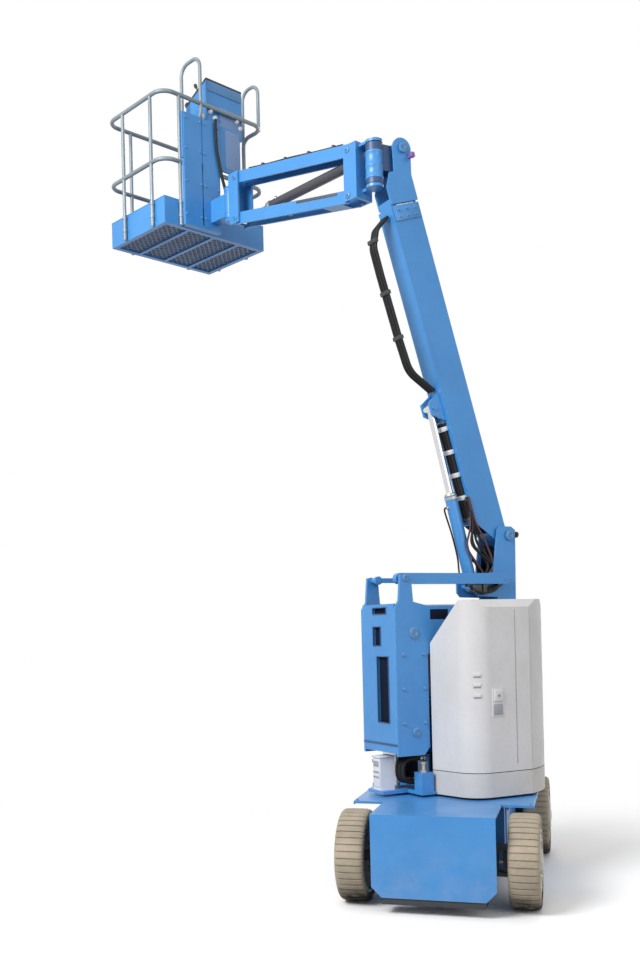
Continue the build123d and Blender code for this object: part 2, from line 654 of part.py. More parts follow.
def bent_rail(frame, points, bend, radius=rail_radius, closed=False):
    """A round tube along straight runs with one bend radius."""
    with BuildLine(frame) as route:
        FilletPolyline(*points, radius=bend, close=closed)
    with BuildSketch(Plane(origin=route.line @ 0, z_dir=route.line % 0)) as section:
        Circle(radius)
    sweep(section.sketch, path=route.line)


def basket_level(z):
    """Sketching plane of the basket at a height."""
    return Plane(origin=in_frame(basket, 0, 0, z), x_dir=basket.x_dir, z_dir=(0, 0, 1))


hoop_y, hoop_top, hoop_low = 80.0, 6130.0, 5625.0
with BuildPart(basket) as basket_rails:
    bent_rail(basket_level(top_rail), (
        (gate_rear - 120, ring_right), (ring_rear, ring_right), (ring_rear, ring_left),
        (ring_front, ring_left), (ring_front, ring_right), (gate_front, ring_right)), 110)
    bent_rail(basket_level(mid_rail), (
        (gate_rear, ring_right), (ring_rear, ring_right), (ring_rear, ring_left),
        (ring_front, ring_left), (ring_front, ring_right), (gate_front, ring_right)), 110)
    # uprights round the basket
    bent_rail(side_of(basket, ring_right), (
        (gate_rear, floor_bottom + 5), (gate_rear, top_rail), (gate_rear - 120, top_rail)), 70)
    for x, y in ((gate_front, ring_right), (ring_rear + 150, ring_left),
                 (ring_front - 220, ring_left), (ring_rear, ring_left - 160),
                 (ring_front, ring_left - 230), (ring_front, ring_right + 230)):
        post(x, y, upright_radius, floor_bottom + 5, top_rail)
    bent_rail(side_of(basket, hoop_y), (
        (ring_rear, hoop_low), (ring_rear, hoop_top), (470, hoop_top), (470, hoop_low)),
        85, upright_radius, closed=True)
    bent_rail(side_of(basket, ring_right), (
        (ring_rear + 60, top_rail), (ring_rear + 60, hoop_top + 20), (gate_rear, hoop_top + 20),
        (gate_rear, top_rail - 70)), 85, upright_radius)
finish(basket_rails, "basket_rails")

bar_play = 1.0
bar_low, bar_high = mid_rail + rail_radius + 6, mid_rail + rail_radius + 82
bar_middle = (bar_low + bar_high) / 2
with BuildPart(basket) as entry_bar:
    block(gate_rear, gate_front, ring_right - 12, ring_right + 12, bar_middle - 12,
          bar_middle + 12)
    for x in (gate_rear, gate_front):
        post(x, ring_right, rail_radius + 9, bar_low, bar_high)
        post(x, ring_right, rail_radius + bar_play, bar_low, bar_high, mode=Mode.SUBTRACT)
finish(entry_bar, "entry_bar")

box_rear, box_front = basket_rear + 6, 520.0
with BuildPart(basket) as basket_control_box:
    plate(basket, 0, 360, (
        (box_rear, 5600), (box_front, 5600), (box_front, 5860), (box_rear, 5985)))
finish(basket_control_box, "basket_control_box")

cable_route = ((3, -15, 5640), (0, -12, 5560), (-2, -22, 5400), (2, -70, 5200), (0, -120, 5060))
cable_x = panel_rear - 14
with BuildPart(basket) as basket_cable:
    with BuildLine() as route:
        FilletPolyline(*[in_frame(basket, cable_x, y, z) for _, y, z in cable_route],
                       radius=(250, 300, 200))
    with BuildSketch(Plane(origin=route.line @ 0, z_dir=route.line % 0)):
        Circle(12)
    sweep()
finish(basket_cable, "basket_cable")
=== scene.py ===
import json
import math

import bmesh
import bpy
from mathutils import Matrix, Vector


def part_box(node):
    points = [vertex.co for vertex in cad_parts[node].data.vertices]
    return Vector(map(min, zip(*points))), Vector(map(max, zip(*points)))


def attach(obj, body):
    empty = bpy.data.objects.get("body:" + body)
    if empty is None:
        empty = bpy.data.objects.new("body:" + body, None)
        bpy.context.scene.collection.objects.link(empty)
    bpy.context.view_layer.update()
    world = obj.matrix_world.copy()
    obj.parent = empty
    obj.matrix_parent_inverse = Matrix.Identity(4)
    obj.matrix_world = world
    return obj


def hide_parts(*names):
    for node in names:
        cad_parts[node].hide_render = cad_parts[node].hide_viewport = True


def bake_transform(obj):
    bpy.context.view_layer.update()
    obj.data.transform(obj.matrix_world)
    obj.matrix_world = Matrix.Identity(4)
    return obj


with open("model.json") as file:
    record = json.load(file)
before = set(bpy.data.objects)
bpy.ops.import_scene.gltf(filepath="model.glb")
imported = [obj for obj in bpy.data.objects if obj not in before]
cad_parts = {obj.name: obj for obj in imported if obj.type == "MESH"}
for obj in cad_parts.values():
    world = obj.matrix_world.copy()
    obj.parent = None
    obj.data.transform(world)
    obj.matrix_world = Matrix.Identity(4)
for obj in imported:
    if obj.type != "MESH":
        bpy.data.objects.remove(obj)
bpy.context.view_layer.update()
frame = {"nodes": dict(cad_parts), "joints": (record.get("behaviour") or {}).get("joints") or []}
nodes = frame["nodes"]
joints = {joint["name"]: joint for joint in frame["joints"]}
print("frame loaded:", len(nodes), "nodes")


# ---- frames of the machine, read from the joints
def jointAt(name):
    return Vector(joints[name]["pos_m"])


def headingFrame(origin, angle):
    return Matrix.Translation(origin) @ Matrix.Rotation(angle, 4, "Z")


wheelAxis = joints["wheel_front_left_spin"]["axis"]
boomAxis = joints["boom_extend"]["axis"]
jibAxis = joints["jib_lift"]["axis"]
chassisFrame = headingFrame((0, 0, 0), math.atan2(-wheelAxis[0], wheelAxis[1]))
turntableFrame = Matrix.Identity(4)
boomFrame = Matrix.Translation(jointAt("boom_luff")) @ Matrix.Rotation(
    -math.atan2(boomAxis[2], boomAxis[0]), 4, "Y")
headFrame = Matrix.Translation(jointAt("head_level"))
jibHeading = math.atan2(jibAxis[0], -jibAxis[1])
swingPlace = jointAt("jib_swing")
turnPlace = jointAt("basket_turn")
basketFrame = headingFrame((turnPlace.x, turnPlace.y, 0), jibHeading)
axisTurn = {
    "Z": Matrix.Identity(4), "-Z": Matrix.Rotation(math.pi, 4, "X"),
    "X": Matrix.Rotation(math.pi / 2, 4, "Y"), "-X": Matrix.Rotation(-math.pi / 2, 4, "Y"),
    "Y": Matrix.Rotation(-math.pi / 2, 4, "X"), "-Y": Matrix.Rotation(math.pi / 2, 4, "X"),
}
sideAxes = ((1, "Y"), (-1, "-Y"))  # sign of y, and the axis that points outwards there


def place(base, x=0.0, y=0.0, z=0.0, axis="Z"):
    return base @ Matrix.Translation((x, y, z)) @ axisTurn[axis]


# ---- shader nodes: a value is a number, a colour or the socket it comes from
def link(tree, a, b):
    tree.links.new(a, b)


def addNode(tree, kind, values=None, **settings):
    node = tree.nodes.new(kind)
    for key, value in settings.items():
        setattr(node, key, value)
    for key, value in (values or {}).items():
        if isinstance(value, bpy.types.NodeSocket):
            link(tree, value, node.inputs[key])
        else:
            node.inputs[key].default_value = value
    return node


def mathNode(tree, operation, *values, clamp=False):
    return addNode(tree, "ShaderNodeMath", dict(enumerate(values)), operation=operation,
                   use_clamp=clamp).outputs[0]


def rangeNode(tree, value, low, high, toLow=0.0, toHigh=1.0, curve="LINEAR"):
    return addNode(tree, "ShaderNodeMapRange", {
        "Value": value, "From Min": low, "From Max": high, "To Min": toLow, "To Max": toHigh},
        interpolation_type=curve).outputs["Result"]


def mixNode(tree, share, first, second):
    return addNode(tree, "ShaderNodeMix", {"Factor": share, 6: first, 7: second},
                   data_type="RGBA").outputs[2]


def noiseNode(tree, scale, detail, stretch=(1.0, 1.0, 1.0)):
    coordinate = addNode(tree, "ShaderNodeTexCoord")
    mapping = addNode(tree, "ShaderNodeMapping", {
        "Vector": coordinate.outputs["Object"], "Scale": stretch})
    return addNode(tree, "ShaderNodeTexNoise", {
        "Vector": mapping.outputs["Vector"], "Scale": scale, "Detail": detail,
        "Roughness": 0.6}).outputs["Fac"]


floatKind, colourKind, vectorKind = "NodeSocketFloat", "NodeSocketColor", "NodeSocketVector"


def newGroup(name, inputs, outputs):
    group = bpy.data.node_groups.new(name, "ShaderNodeTree")
    for label, value in inputs.items():
        kind = colourKind if isinstance(value, tuple) else floatKind
        group.interface.new_socket(label, in_out="INPUT", socket_type=kind).default_value = value
    for label, kind in outputs.items():
        group.interface.new_socket(label, in_out="OUTPUT", socket_type=kind)
    source = group.nodes.new("NodeGroupInput")
    sink = group.nodes.new("NodeGroupOutput")
    return group, source.outputs, sink.inputs


# slow change of tone over a panel
toneGroup, given, result = newGroup(
    "panelTone",
    {"Main": (0.5, 0.5, 0.5, 1), "Second": (0.4, 0.4, 0.4, 1), "Scale": 3.0, "Fine": 40.0},
    {"Color": colourKind, "Value": floatKind})
bothNoises = mathNode(toneGroup, "MULTIPLY_ADD", noiseNode(toneGroup, given["Fine"], 4.0), 0.35,
                      noiseNode(toneGroup, given["Scale"], 3.0))
spread = rangeNode(toneGroup, bothNoises, 0.45, 0.9)
link(toneGroup, mixNode(toneGroup, spread, given["Main"], given["Second"]), result["Color"])
link(toneGroup, spread, result["Value"])

# rubbed edges, from the difference between a rounded and a true normal
wearGroup, given, result = newGroup(
    "edgeRub", {"Radius": 0.004, "Amount": 0.5, "Scale": 30.0}, {"Mask": floatKind})
rounded = addNode(wearGroup, "ShaderNodeBevel", {"Radius": given["Radius"]}, samples=3)
geometry = addNode(wearGroup, "ShaderNodeNewGeometry")
compare = addNode(wearGroup, "ShaderNodeVectorMath", {
    0: rounded.outputs["Normal"], 1: geometry.outputs["Normal"]}, operation="DOT_PRODUCT")
edge = rangeNode(wearGroup, compare.outputs["Value"], 0.99, 0.85)
patchy = rangeNode(wearGroup, noiseNode(wearGroup, given["Scale"], 6.0), 0.42, 0.62)
edgePatch = mathNode(wearGroup, "MULTIPLY", edge, patchy)
link(wearGroup, mathNode(wearGroup, "MULTIPLY", edgePatch, given["Amount"], clamp=True),
     result["Mask"])

# dust on upward faces, and darkening near the ground: dirt splash on most finishes, painted shade of
# the ground contact on the tyres
dustAndShadeGroup, given, result = newGroup(
    "settledDustAndLowShade", {"Amount": 0.3, "Scale": 9.0, "LowGrimeAndShade": 0.0, "Reach": 0.55},
    {"Mask": floatKind})
geometry = addNode(dustAndShadeGroup, "ShaderNodeNewGeometry")
upward = addNode(dustAndShadeGroup, "ShaderNodeSeparateXYZ", {"Vector": geometry.outputs["Normal"]})
upMask = rangeNode(dustAndShadeGroup, upward.outputs["Z"], 0.3, 0.95, 0.12, 1.0)
coordinate = addNode(dustAndShadeGroup, "ShaderNodeTexCoord")
height = addNode(dustAndShadeGroup, "ShaderNodeSeparateXYZ", {"Vector": coordinate.outputs["Object"]})
lowMask = rangeNode(dustAndShadeGroup, height.outputs["Z"], given["Reach"], 0.02)
total = mathNode(dustAndShadeGroup, "ADD", mathNode(dustAndShadeGroup, "MULTIPLY", lowMask, given["LowGrimeAndShade"]),
                 mathNode(dustAndShadeGroup, "MULTIPLY", upMask, given["Amount"]))
cloud = rangeNode(dustAndShadeGroup, noiseNode(dustAndShadeGroup, given["Scale"], 7.0), 0.32, 0.72, 0.1, 1.0)
link(dustAndShadeGroup, mathNode(dustAndShadeGroup, "MULTIPLY", total, cloud, clamp=True), result["Mask"])


# fine relief: orange peel, moulded grain, casting skin or brushing, by its stretch
def reliefGroup(name, stretch):
    group, given, result = newGroup(
        name, {"Scale": 300.0, "Strength": 0.1, "Distance": 0.001}, {"Normal": vectorKind})
    bump = addNode(group, "ShaderNodeBump", {
        "Strength": given["Strength"], "Distance": given["Distance"],
        "Height": noiseNode(group, given["Scale"], 5.0, stretch)})
    link(group, bump.outputs["Normal"], result["Normal"])
    return group


grainGroup = reliefGroup("fineRelief", (1.0, 1.0, 1.0))
brushGroup = reliefGroup("brushedRelief", (1.0, 1.0, 0.04))
print("shader groups ready")


# ---- finishes
def makeFinish(name, main, second, roughness=0.45, metallic=0.0, coat=0.0,
               relief=(350, 0.08, 0.001), rub=0.0, rubColour=(0.35, 0.36, 0.38), rubRadius=0.004,
               dust=0.15, lowGrimeAndShade=0.0, dustAndShadeColour=(0.46, 0.42, 0.36), reach=0.55, toneScale=2.5,
               brushed=False, specular=0.5):
    material = bpy.data.materials.new(name)
    material.use_nodes = True
    tree = material.node_tree
    shader = tree.nodes["Principled BSDF"]
    shader.inputs["Metallic"].default_value = metallic
    shader.inputs["Coat Weight"].default_value = coat
    shader.inputs["Coat Roughness"].default_value = 0.18
    shader.inputs["Specular IOR Level"].default_value = specular
    tone = addNode(tree, "ShaderNodeGroup", {
        "Main": (*main, 1), "Second": (*second, 1), "Scale": toneScale}, node_tree=toneGroup)
    colour = tone.outputs["Color"]
    rough = rangeNode(tree, tone.outputs["Value"], 0.0, 1.0, roughness - 0.05, roughness + 0.08)
    if rub > 0:
        wear = addNode(tree, "ShaderNodeGroup", {"Amount": rub, "Radius": rubRadius},
                       node_tree=wearGroup)
        colour = mixNode(tree, wear.outputs["Mask"], colour, (*rubColour, 1))
    # dust and low dirt mixed into the colour; on the tyres the low band is painted shade, in a
    # near-black colour
    if dust > 0 or lowGrimeAndShade > 0:
        dustAndShade = addNode(tree, "ShaderNodeGroup", {
            "Amount": dust, "LowGrimeAndShade": lowGrimeAndShade, "Reach": reach}, node_tree=dustAndShadeGroup).outputs["Mask"]
        colour = mixNode(tree, dustAndShade, colour, (*dustAndShadeColour, 1))
        rough = mathNode(tree, "MULTIPLY_ADD", dustAndShade, 0.35, rough, clamp=True)
    texture = addNode(tree, "ShaderNodeGroup", {
        "Scale": relief[0], "Strength": relief[1], "Distance": relief[2]},
        node_tree=brushGroup if brushed else grainGroup)
    link(tree, colour, shader.inputs["Base Color"])
    link(tree, rough, shader.inputs["Roughness"])
    link(tree, texture.outputs["Normal"], shader.inputs["Normal"])
    return material


finishTable = {
    "bluePaint": dict(main=(0.044, 0.245, 0.58), second=(0.036, 0.205, 0.5), roughness=0.38,
        coat=0.2, relief=(260, 0.05, 0.0008), rub=0.35, rubColour=(0.25, 0.36, 0.5), dust=0.1,
        lowGrimeAndShade=0.18),
    "coverPlastic": dict(main=(0.6, 0.595, 0.61), second=(0.53, 0.52, 0.52), roughness=0.42,
        relief=(420, 0.12, 0.0008), rub=0.2, rubColour=(0.72, 0.71, 0.7), dust=0.12, lowGrimeAndShade=0.1,
        dustAndShadeColour=(0.5, 0.46, 0.4)),
    "trayPlastic": dict(main=(0.56, 0.545, 0.535), second=(0.48, 0.465, 0.45), roughness=0.5,
        relief=(400, 0.15, 0.0008), rub=0.3, rubColour=(0.66, 0.64, 0.6), dust=0.2, lowGrimeAndShade=0.15),
    # the tyre's near-black colour low down, over a short reach, is painted shade where it meets the
    # ground
    "tyreRubber": dict(main=(0.41, 0.35, 0.265), second=(0.3, 0.255, 0.19), roughness=0.82,
        relief=(180, 0.35, 0.0012), rub=0.5, rubColour=(0.5, 0.45, 0.37), dust=0.1, lowGrimeAndShade=2.6,
        dustAndShadeColour=(0.02, 0.016, 0.013), reach=0.13, toneScale=7),
    "rimPaint": dict(main=(0.62, 0.6, 0.56), second=(0.52, 0.5, 0.46), roughness=0.45, coat=0.1,
        relief=(240, 0.08, 0.001), rub=0.5, rubColour=(0.3, 0.27, 0.24), dust=0.15, lowGrimeAndShade=0.35),
    "darkSteel": dict(main=(0.035, 0.037, 0.042), second=(0.055, 0.055, 0.058), roughness=0.5,
        relief=(220, 0.15, 0.001), rub=0.5, rubColour=(0.2, 0.19, 0.18), dust=0.15, lowGrimeAndShade=0.3),
    "railSteel": dict(main=(0.24, 0.29, 0.32), second=(0.18, 0.22, 0.25), roughness=0.42,
        metallic=0.2, relief=(320, 0.1, 0.0006), rub=0.3, rubColour=(0.6, 0.6, 0.6), dust=0.05),
    "rodChrome": dict(main=(0.72, 0.73, 0.75), second=(0.64, 0.65, 0.67), roughness=0.16,
        metallic=1.0, relief=(700, 0.03, 0.0003), dust=0.0, toneScale=8, brushed=True),
    "cylinderBlack": dict(main=(0.03, 0.032, 0.045), second=(0.045, 0.045, 0.055), roughness=0.35,
        coat=0.2, relief=(260, 0.06, 0.0008), rub=0.3, rubColour=(0.18, 0.18, 0.19), dust=0.08),
    "hoseRubber": dict(main=(0.01, 0.011, 0.013), second=(0.018, 0.018, 0.019), roughness=0.6,
        relief=(650, 0.2, 0.0006), dust=0.03, toneScale=12, specular=0.2),
    "deepShade": dict(main=(0.006, 0.01, 0.026), second=(0.009, 0.013, 0.03), roughness=0.7,
        relief=(300, 0.1, 0.0006), dust=0.0, specular=0.05),
    "boxWhite": dict(main=(0.66, 0.67, 0.72), second=(0.58, 0.59, 0.63), roughness=0.45,
        relief=(420, 0.1, 0.0006), rub=0.2, rubColour=(0.75, 0.75, 0.75), dust=0.1, lowGrimeAndShade=0.1),
    "castIron": dict(main=(0.1, 0.1, 0.105), second=(0.07, 0.07, 0.075), roughness=0.7,
        relief=(90, 0.5, 0.002), rub=0.4, rubColour=(0.22, 0.21, 0.2), dust=0.2, lowGrimeAndShade=0.1),
    "batteryCase": dict(main=(0.05, 0.05, 0.055), second=(0.07, 0.07, 0.075), roughness=0.55,
        relief=(380, 0.15, 0.0008), dust=0.25),
    "boltSteel": dict(main=(0.5, 0.49, 0.45), second=(0.4, 0.38, 0.33), roughness=0.35,
        metallic=0.9, relief=(500, 0.1, 0.0004), rub=0.4, rubColour=(0.7, 0.7, 0.7),
        rubRadius=0.001, dust=0.1, toneScale=20),
    "blackPlastic": dict(main=(0.022, 0.023, 0.026), second=(0.034, 0.034, 0.037), roughness=0.5,
        relief=(600, 0.2, 0.0005), rub=0.3, rubColour=(0.1, 0.1, 0.1), dust=0.05),
    "dullSteel": dict(main=(0.1, 0.11, 0.14), second=(0.16, 0.14, 0.12), roughness=0.6,
        relief=(300, 0.2, 0.0008), dust=0.1, toneScale=6),
    "maroonHose": dict(main=(0.075, 0.022, 0.028), second=(0.055, 0.018, 0.024), roughness=0.6,
        relief=(650, 0.25, 0.0006), dust=0.06, toneScale=12),
    "greyPlastic": dict(main=(0.3, 0.31, 0.34), second=(0.24, 0.25, 0.28), roughness=0.45,
        relief=(600, 0.15, 0.0005), dust=0.05),
    "redPlastic": dict(main=(0.55, 0.03, 0.03), second=(0.45, 0.02, 0.02), roughness=0.35,
        relief=(500, 0.05, 0.0004), dust=0.03),
    "purplePlastic": dict(main=(0.2, 0.1, 0.34), second=(0.15, 0.07, 0.27), roughness=0.4,
        relief=(500, 0.08, 0.0004), dust=0.04),
    "greenPlastic": dict(main=(0.04, 0.36, 0.12), second=(0.03, 0.28, 0.09), roughness=0.35,
        relief=(500, 0.05, 0.0004), dust=0.03),
    "yellowPlastic": dict(main=(0.75, 0.48, 0.04), second=(0.65, 0.4, 0.03), roughness=0.4,
        relief=(500, 0.05, 0.0004), dust=0.03),
    "paleClip": dict(main=(0.62, 0.66, 0.68), second=(0.52, 0.55, 0.57), roughness=0.4,
        relief=(400, 0.1, 0.0005), dust=0.05),
    "greyBlueSheet": dict(main=(0.16, 0.27, 0.48), second=(0.13, 0.22, 0.4), roughness=0.42,
        coat=0.1, relief=(260, 0.06, 0.0008), rub=0.3, dust=0.05),
    "wearPad": dict(main=(0.7, 0.68, 0.6), second=(0.62, 0.6, 0.52), roughness=0.55,
        relief=(300, 0.1, 0.0006), dust=0.1),
    "pinPaint": dict(main=(0.055, 0.2, 0.44), second=(0.075, 0.22, 0.42), roughness=0.4, coat=0.1,
        relief=(300, 0.08, 0.0006), rub=0.5, rubColour=(0.3, 0.36, 0.42), rubRadius=0.002, dust=0.1,
        toneScale=15),
    "darkBluePaint": dict(main=(0.022, 0.065, 0.17), second=(0.016, 0.05, 0.13), roughness=0.45,
        coat=0.1, relief=(260, 0.06, 0.0008), rub=0.3, rubColour=(0.1, 0.17, 0.28), dust=0.06),
    "displayGlass": dict(main=(0.02, 0.05, 0.06), second=(0.02, 0.04, 0.05), roughness=0.12,
        coat=0.6, relief=(40, 0.01, 0.0003), dust=0.02),
}
finishes = {name: makeFinish(name, **spec) for name, spec in finishTable.items()}

# start of a node's name and its finish; the other nodes are blue, and the rods chrome
nodeFinish = {
    "tyre": "tyreRubber", "rim": "rimPaint", "cover": "coverPlastic", "tray": "trayPlastic",
    "boom_hoses": "hoseRubber", "basket_cable": "hoseRubber", "riser_hoses": "hoseRubber",
    "basket_rails": "railSteel", "entry_bar": "railSteel", "ground_control_box": "boxWhite",
    "counterweight": "castIron", "battery_pack": "batteryCase", "drive_hubs": "darkSteel",
    "front_axle": "darkSteel", "knuckle": "darkSteel", "hydraulic_power_unit": "darkSteel",
    "steer_cylinder": "cylinderBlack", "jib_cylinder_barrel": "cylinderBlack",
    "level_block": "darkBluePaint",
}
for nodeName, node in nodes.items():
    chosen = "rodChrome" if nodeName.endswith("_rod") else "bluePaint"
    for start, finish in nodeFinish.items():
        if nodeName.startswith(start):
            chosen = finish
    node.data.materials.clear()
    node.data.materials.append(finishes[chosen])
    if not nodeName.startswith(("boom_hoses", "basket_cable")):
        node.data.set_sharp_from_angle(angle=math.radians(30))
print("finishes ready:", len(finishes))


# ---- mesh helpers, all in the row frame
def boxInto(mesh, base, low, high, bevel=0.003, segments=2):
    size = [b - a for a, b in zip(low, high)]
    middle = [(a + b) / 2 for a, b in zip(low, high)]
    made = bmesh.ops.create_cube(
        mesh, size=1.0, matrix=base @ Matrix.Translation(middle) @ Matrix.Diagonal((*size, 1)))
    edges = list({e for v in made["verts"] for e in v.link_edges})
    width = min(bevel, 0.45 * min(abs(s) for s in size))
    if width > 0:
        bmesh.ops.bevel(mesh, geom=edges, offset=width, segments=segments, profile=0.5,
                        affect="EDGES")


def sideBoxesInto(mesh, base, xs, ys, zs, bevel=0.003):
    for side in (1, -1):
        y0, y1 = sorted((side * ys[0], side * ys[1]))
        boxInto(mesh, base, (xs[0], y0, zs[0]), (xs[1], y1, zs[1]), bevel)


def circle(count, radius=1.0, start=0.0):
    angles = [2 * math.pi * (i + start) / count for i in range(count)]
    return [(radius * math.cos(angle), radius * math.sin(angle)) for angle in angles]


def bandInto(mesh, a, b):
    for i in range(len(a)):
        j = (i + 1) % len(a)
        mesh.faces.new((a[i], a[j], b[j], b[i]))


def latheInto(mesh, base, profile, steps=32):
    rings = []
    for radius, height in profile:
        if radius <= 1e-6:
            rings.append([mesh.verts.new(base @ Vector((0, 0, height)))])
            continue
        rings.append([mesh.verts.new(base @ Vector((x, y, height)))
                      for x, y in circle(steps, radius)])
    for a, b in zip(rings, rings[1:]):
        for i in range(steps):
            j = (i + 1) % steps
            corners = [a[i % len(a)], a[j % len(a)], b[j % len(b)], b[i % len(b)]]
            unique = list(dict.fromkeys(corners))
            if len(unique) > 2:
                mesh.faces.new(unique)
    for ring, flip in ((rings[0], True), (rings[-1], False)):
        if len(ring) > 2:
            mesh.faces.new(list(reversed(ring)) if flip else ring)


def hexInto(mesh, base, across, height):
    radius = across / math.sqrt(3)
    latheInto(mesh, base, ((radius, 0), (radius, height * 0.8), (radius * 0.86, height),
                           (0, height)), 6)


def boltInto(mesh, base, across=0.018, washer=True):
    if washer:
        latheInto(mesh, base, ((across * 0.85, 0), (across * 0.85, across * 0.12),
                               (across * 0.78, across * 0.17), (0, across * 0.17)), 18)
    hexInto(mesh, base @ Matrix.Translation((0, 0, across * 0.15)), across, across * 0.6)


def boltsInto(mesh, base, xs, ys, zs, across, axis="Z", washer=True):
    for x in xs:
        for y in ys:
            for z in zs:
                boltInto(mesh, place(base, x, y, z, axis), across, washer)


def boltRingInto(mesh, base, count, radius, z, across, washer=False, start=0.0):
    for x, y in circle(count, radius, start):
        boltInto(mesh, place(base, x, y, z), across, washer)


def smoothPath(points, steps=8):
    points = [Vector(p) for p in points]
    padded = [2 * points[0] - points[1], *points, 2 * points[-1] - points[-2]]
    path = []
    for a, b, c, d in zip(padded, padded[1:], padded[2:], padded[3:]):
        for i in range(steps):
            t = i / steps
            path.append(0.5 * ((2 * b) + (c - a) * t + (2 * a - 5 * b + 4 * c - d) * t * t
                               + (3 * b - a - 3 * c + d) * t ** 3))
    path.append(points[-1])
    return path


def tubeInto(mesh, path, radius, steps=12):
    side = (path[1] - path[0]).normalized().orthogonal().normalized()
    rings = []
    for i, point in enumerate(path):
        ahead = path[min(i + 1, len(path) - 1)] - path[max(i - 1, 0)]
        ahead.normalize()
        side = (side - ahead * side.dot(ahead)).normalized()
        other = ahead.cross(side)
        rings.append([mesh.verts.new(point + side * x + other * y)
                      for x, y in circle(steps, radius)])
    for a, b in zip(rings, rings[1:]):
        bandInto(mesh, a, b)
    mesh.faces.new(list(reversed(rings[0])))
    mesh.faces.new(rings[-1])


def makePiece(name, body, finish, build, smooth=40):
    mesh = bmesh.new()
    build(mesh)
    bmesh.ops.recalc_face_normals(mesh, faces=mesh.faces)
    data = bpy.data.meshes.new(name)
    mesh.to_mesh(data)
    mesh.free()
    for polygon in data.polygons:
        polygon.use_smooth = True
    data.set_sharp_from_angle(angle=math.radians(smooth))
    data.materials.append(finishes[finish])
    made = bpy.data.objects.new(name, data)
    bpy.context.scene.collection.objects.link(made)
    if body:
        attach(made, body)
    return made


# builds a piece at once, with the function's name as the piece's
def piece(body, finish, end=""):
    return lambda build: makePiece(build.__name__ + end, body, finish, build)


print("helpers ready")

# ---- tyres with cross lugs, and what is bolted to the wheels
tyreSpec = {"lugs": 42, "grooveDepth": 0.008, "boltRing": 0.150, "frontHub": 0.060,
            "rearHub": 0.105}
halfProfile = ((0.025, 0.280, 1), (0.060, 0.279, 1), (0.075, 0.2755, 1), (0.084, 0.268, 0.8),
               (0.0885, 0.258, 0.25), (0.090, 0.243, 0), (0.087, 0.231, 0), (0.078, 0.2255, 0))
tyreProfile = [(-across, radius, tread) for across, radius, tread in reversed(halfProfile)]
tyreProfile += halfProfile  # across, radius and share of the groove's depth
lugSteps = ((0.0, 0.0), (0.05, 1.0), (0.24, 1.0), (0.29, 0.0), (0.62, 0.0))


def tyreInto(mesh, base):
    columns = []
    for lug in range(tyreSpec["lugs"]):
        for share, sunk in lugSteps:
            angle = 2 * math.pi * (lug + share) / tyreSpec["lugs"]
            column = []
            for across, radius, tread in tyreProfile:
                r = radius - tyreSpec["grooveDepth"] * sunk * tread
                column.append(mesh.verts.new(base @ Vector(
                    (r * math.cos(angle), r * math.sin(angle), across))))
            columns.append(column)
    for a, b in zip(columns, columns[1:] + columns[:1]):
        bandInto(mesh, a, b)


def wheelTrimInto(mesh, base, hub):
    latheInto(mesh, place(base, z=0.090), (
        (hub * 0.9, -0.004), (hub * 0.9, 0.003), (hub * 0.8, 0.008), (hub * 0.35, 0.010),
        (hub * 0.3, 0.013), (0, 0.013)), 36)
    boltRingInto(mesh, base, 8, tyreSpec["boltRing"], 0.0715, 0.022, True)
    latheInto(mesh, place(base, 0.185, 0.02, 0.070), (
        (0.005, 0), (0.005, 0.02), (0.0035, 0.024), (0, 0.024)), 12)


for axle in ("front", "rear"):
    for side, sign in (("left", 1), ("right", -1)):
        centre = jointAt(f"wheel_{axle}_{side}_spin")
        outward = chassisFrame.to_3x3() @ Vector((0, sign, 0))
        base = Matrix.Translation(centre) @ outward.to_track_quat("Z", "X").to_matrix().to_4x4()
        body = f"wheel_{axle}_{side}"
        tyre = makePiece(f"treadTyre_{axle}_{side}", body, "tyreRubber",
                         lambda mesh: tyreInto(mesh, base), 28)
        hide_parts(f"tyre_{axle}_{side}")
        makePiece(f"wheelTrim_{axle}_{side}", body, "boltSteel",
                  lambda mesh: wheelTrimInto(mesh, base, tyreSpec[f"{axle}Hub"]))
print("wheels ready")

# ---- pins: a cap and its bolt at each end
# joint, body that holds the pin, half length, cap radius
pinTable = (
    ("riser_lift", "turntable", 0.120, 0.038), ("mid_pivot_level", "mid_pivot", 0.206, 0.032),
    ("upper_arm_pivot", "mid_pivot", 0.206, 0.040),
    ("upper_link_pivot", "mid_pivot", 0.206, 0.026),
    ("upper_pivot_level", "upper_pivot", 0.104, 0.038),
    ("boom_luff", "upper_pivot", 0.116, 0.036),
    ("lift_barrel_pivot", "upper_pivot", 0.104, 0.026),
    ("head_level", "boom_extension", 0.092, 0.032),
    ("riser_barrel_pivot", "turntable", 0.075, 0.024),
    ("lower_link_pivot", "turntable", 0.120, 0.028),
)
for name, body, half, radius in pinTable:
    @piece(body, "pinPaint", end=f"_{name}")
    def pinEnds(mesh):
        for sign, axis in sideAxes:
            base = place(Matrix.Translation(jointAt(name)), y=sign * half, axis=axis)
            latheInto(mesh, base, ((radius, 0), (radius, 0.005), (radius * 0.9, 0.007),
                                   (radius * 0.45, 0.007), (radius * 0.4, 0.004), (0, 0.004)), 28)
            boltInto(mesh, place(base, radius * 0.62, 0, 0.006), 0.010, False)

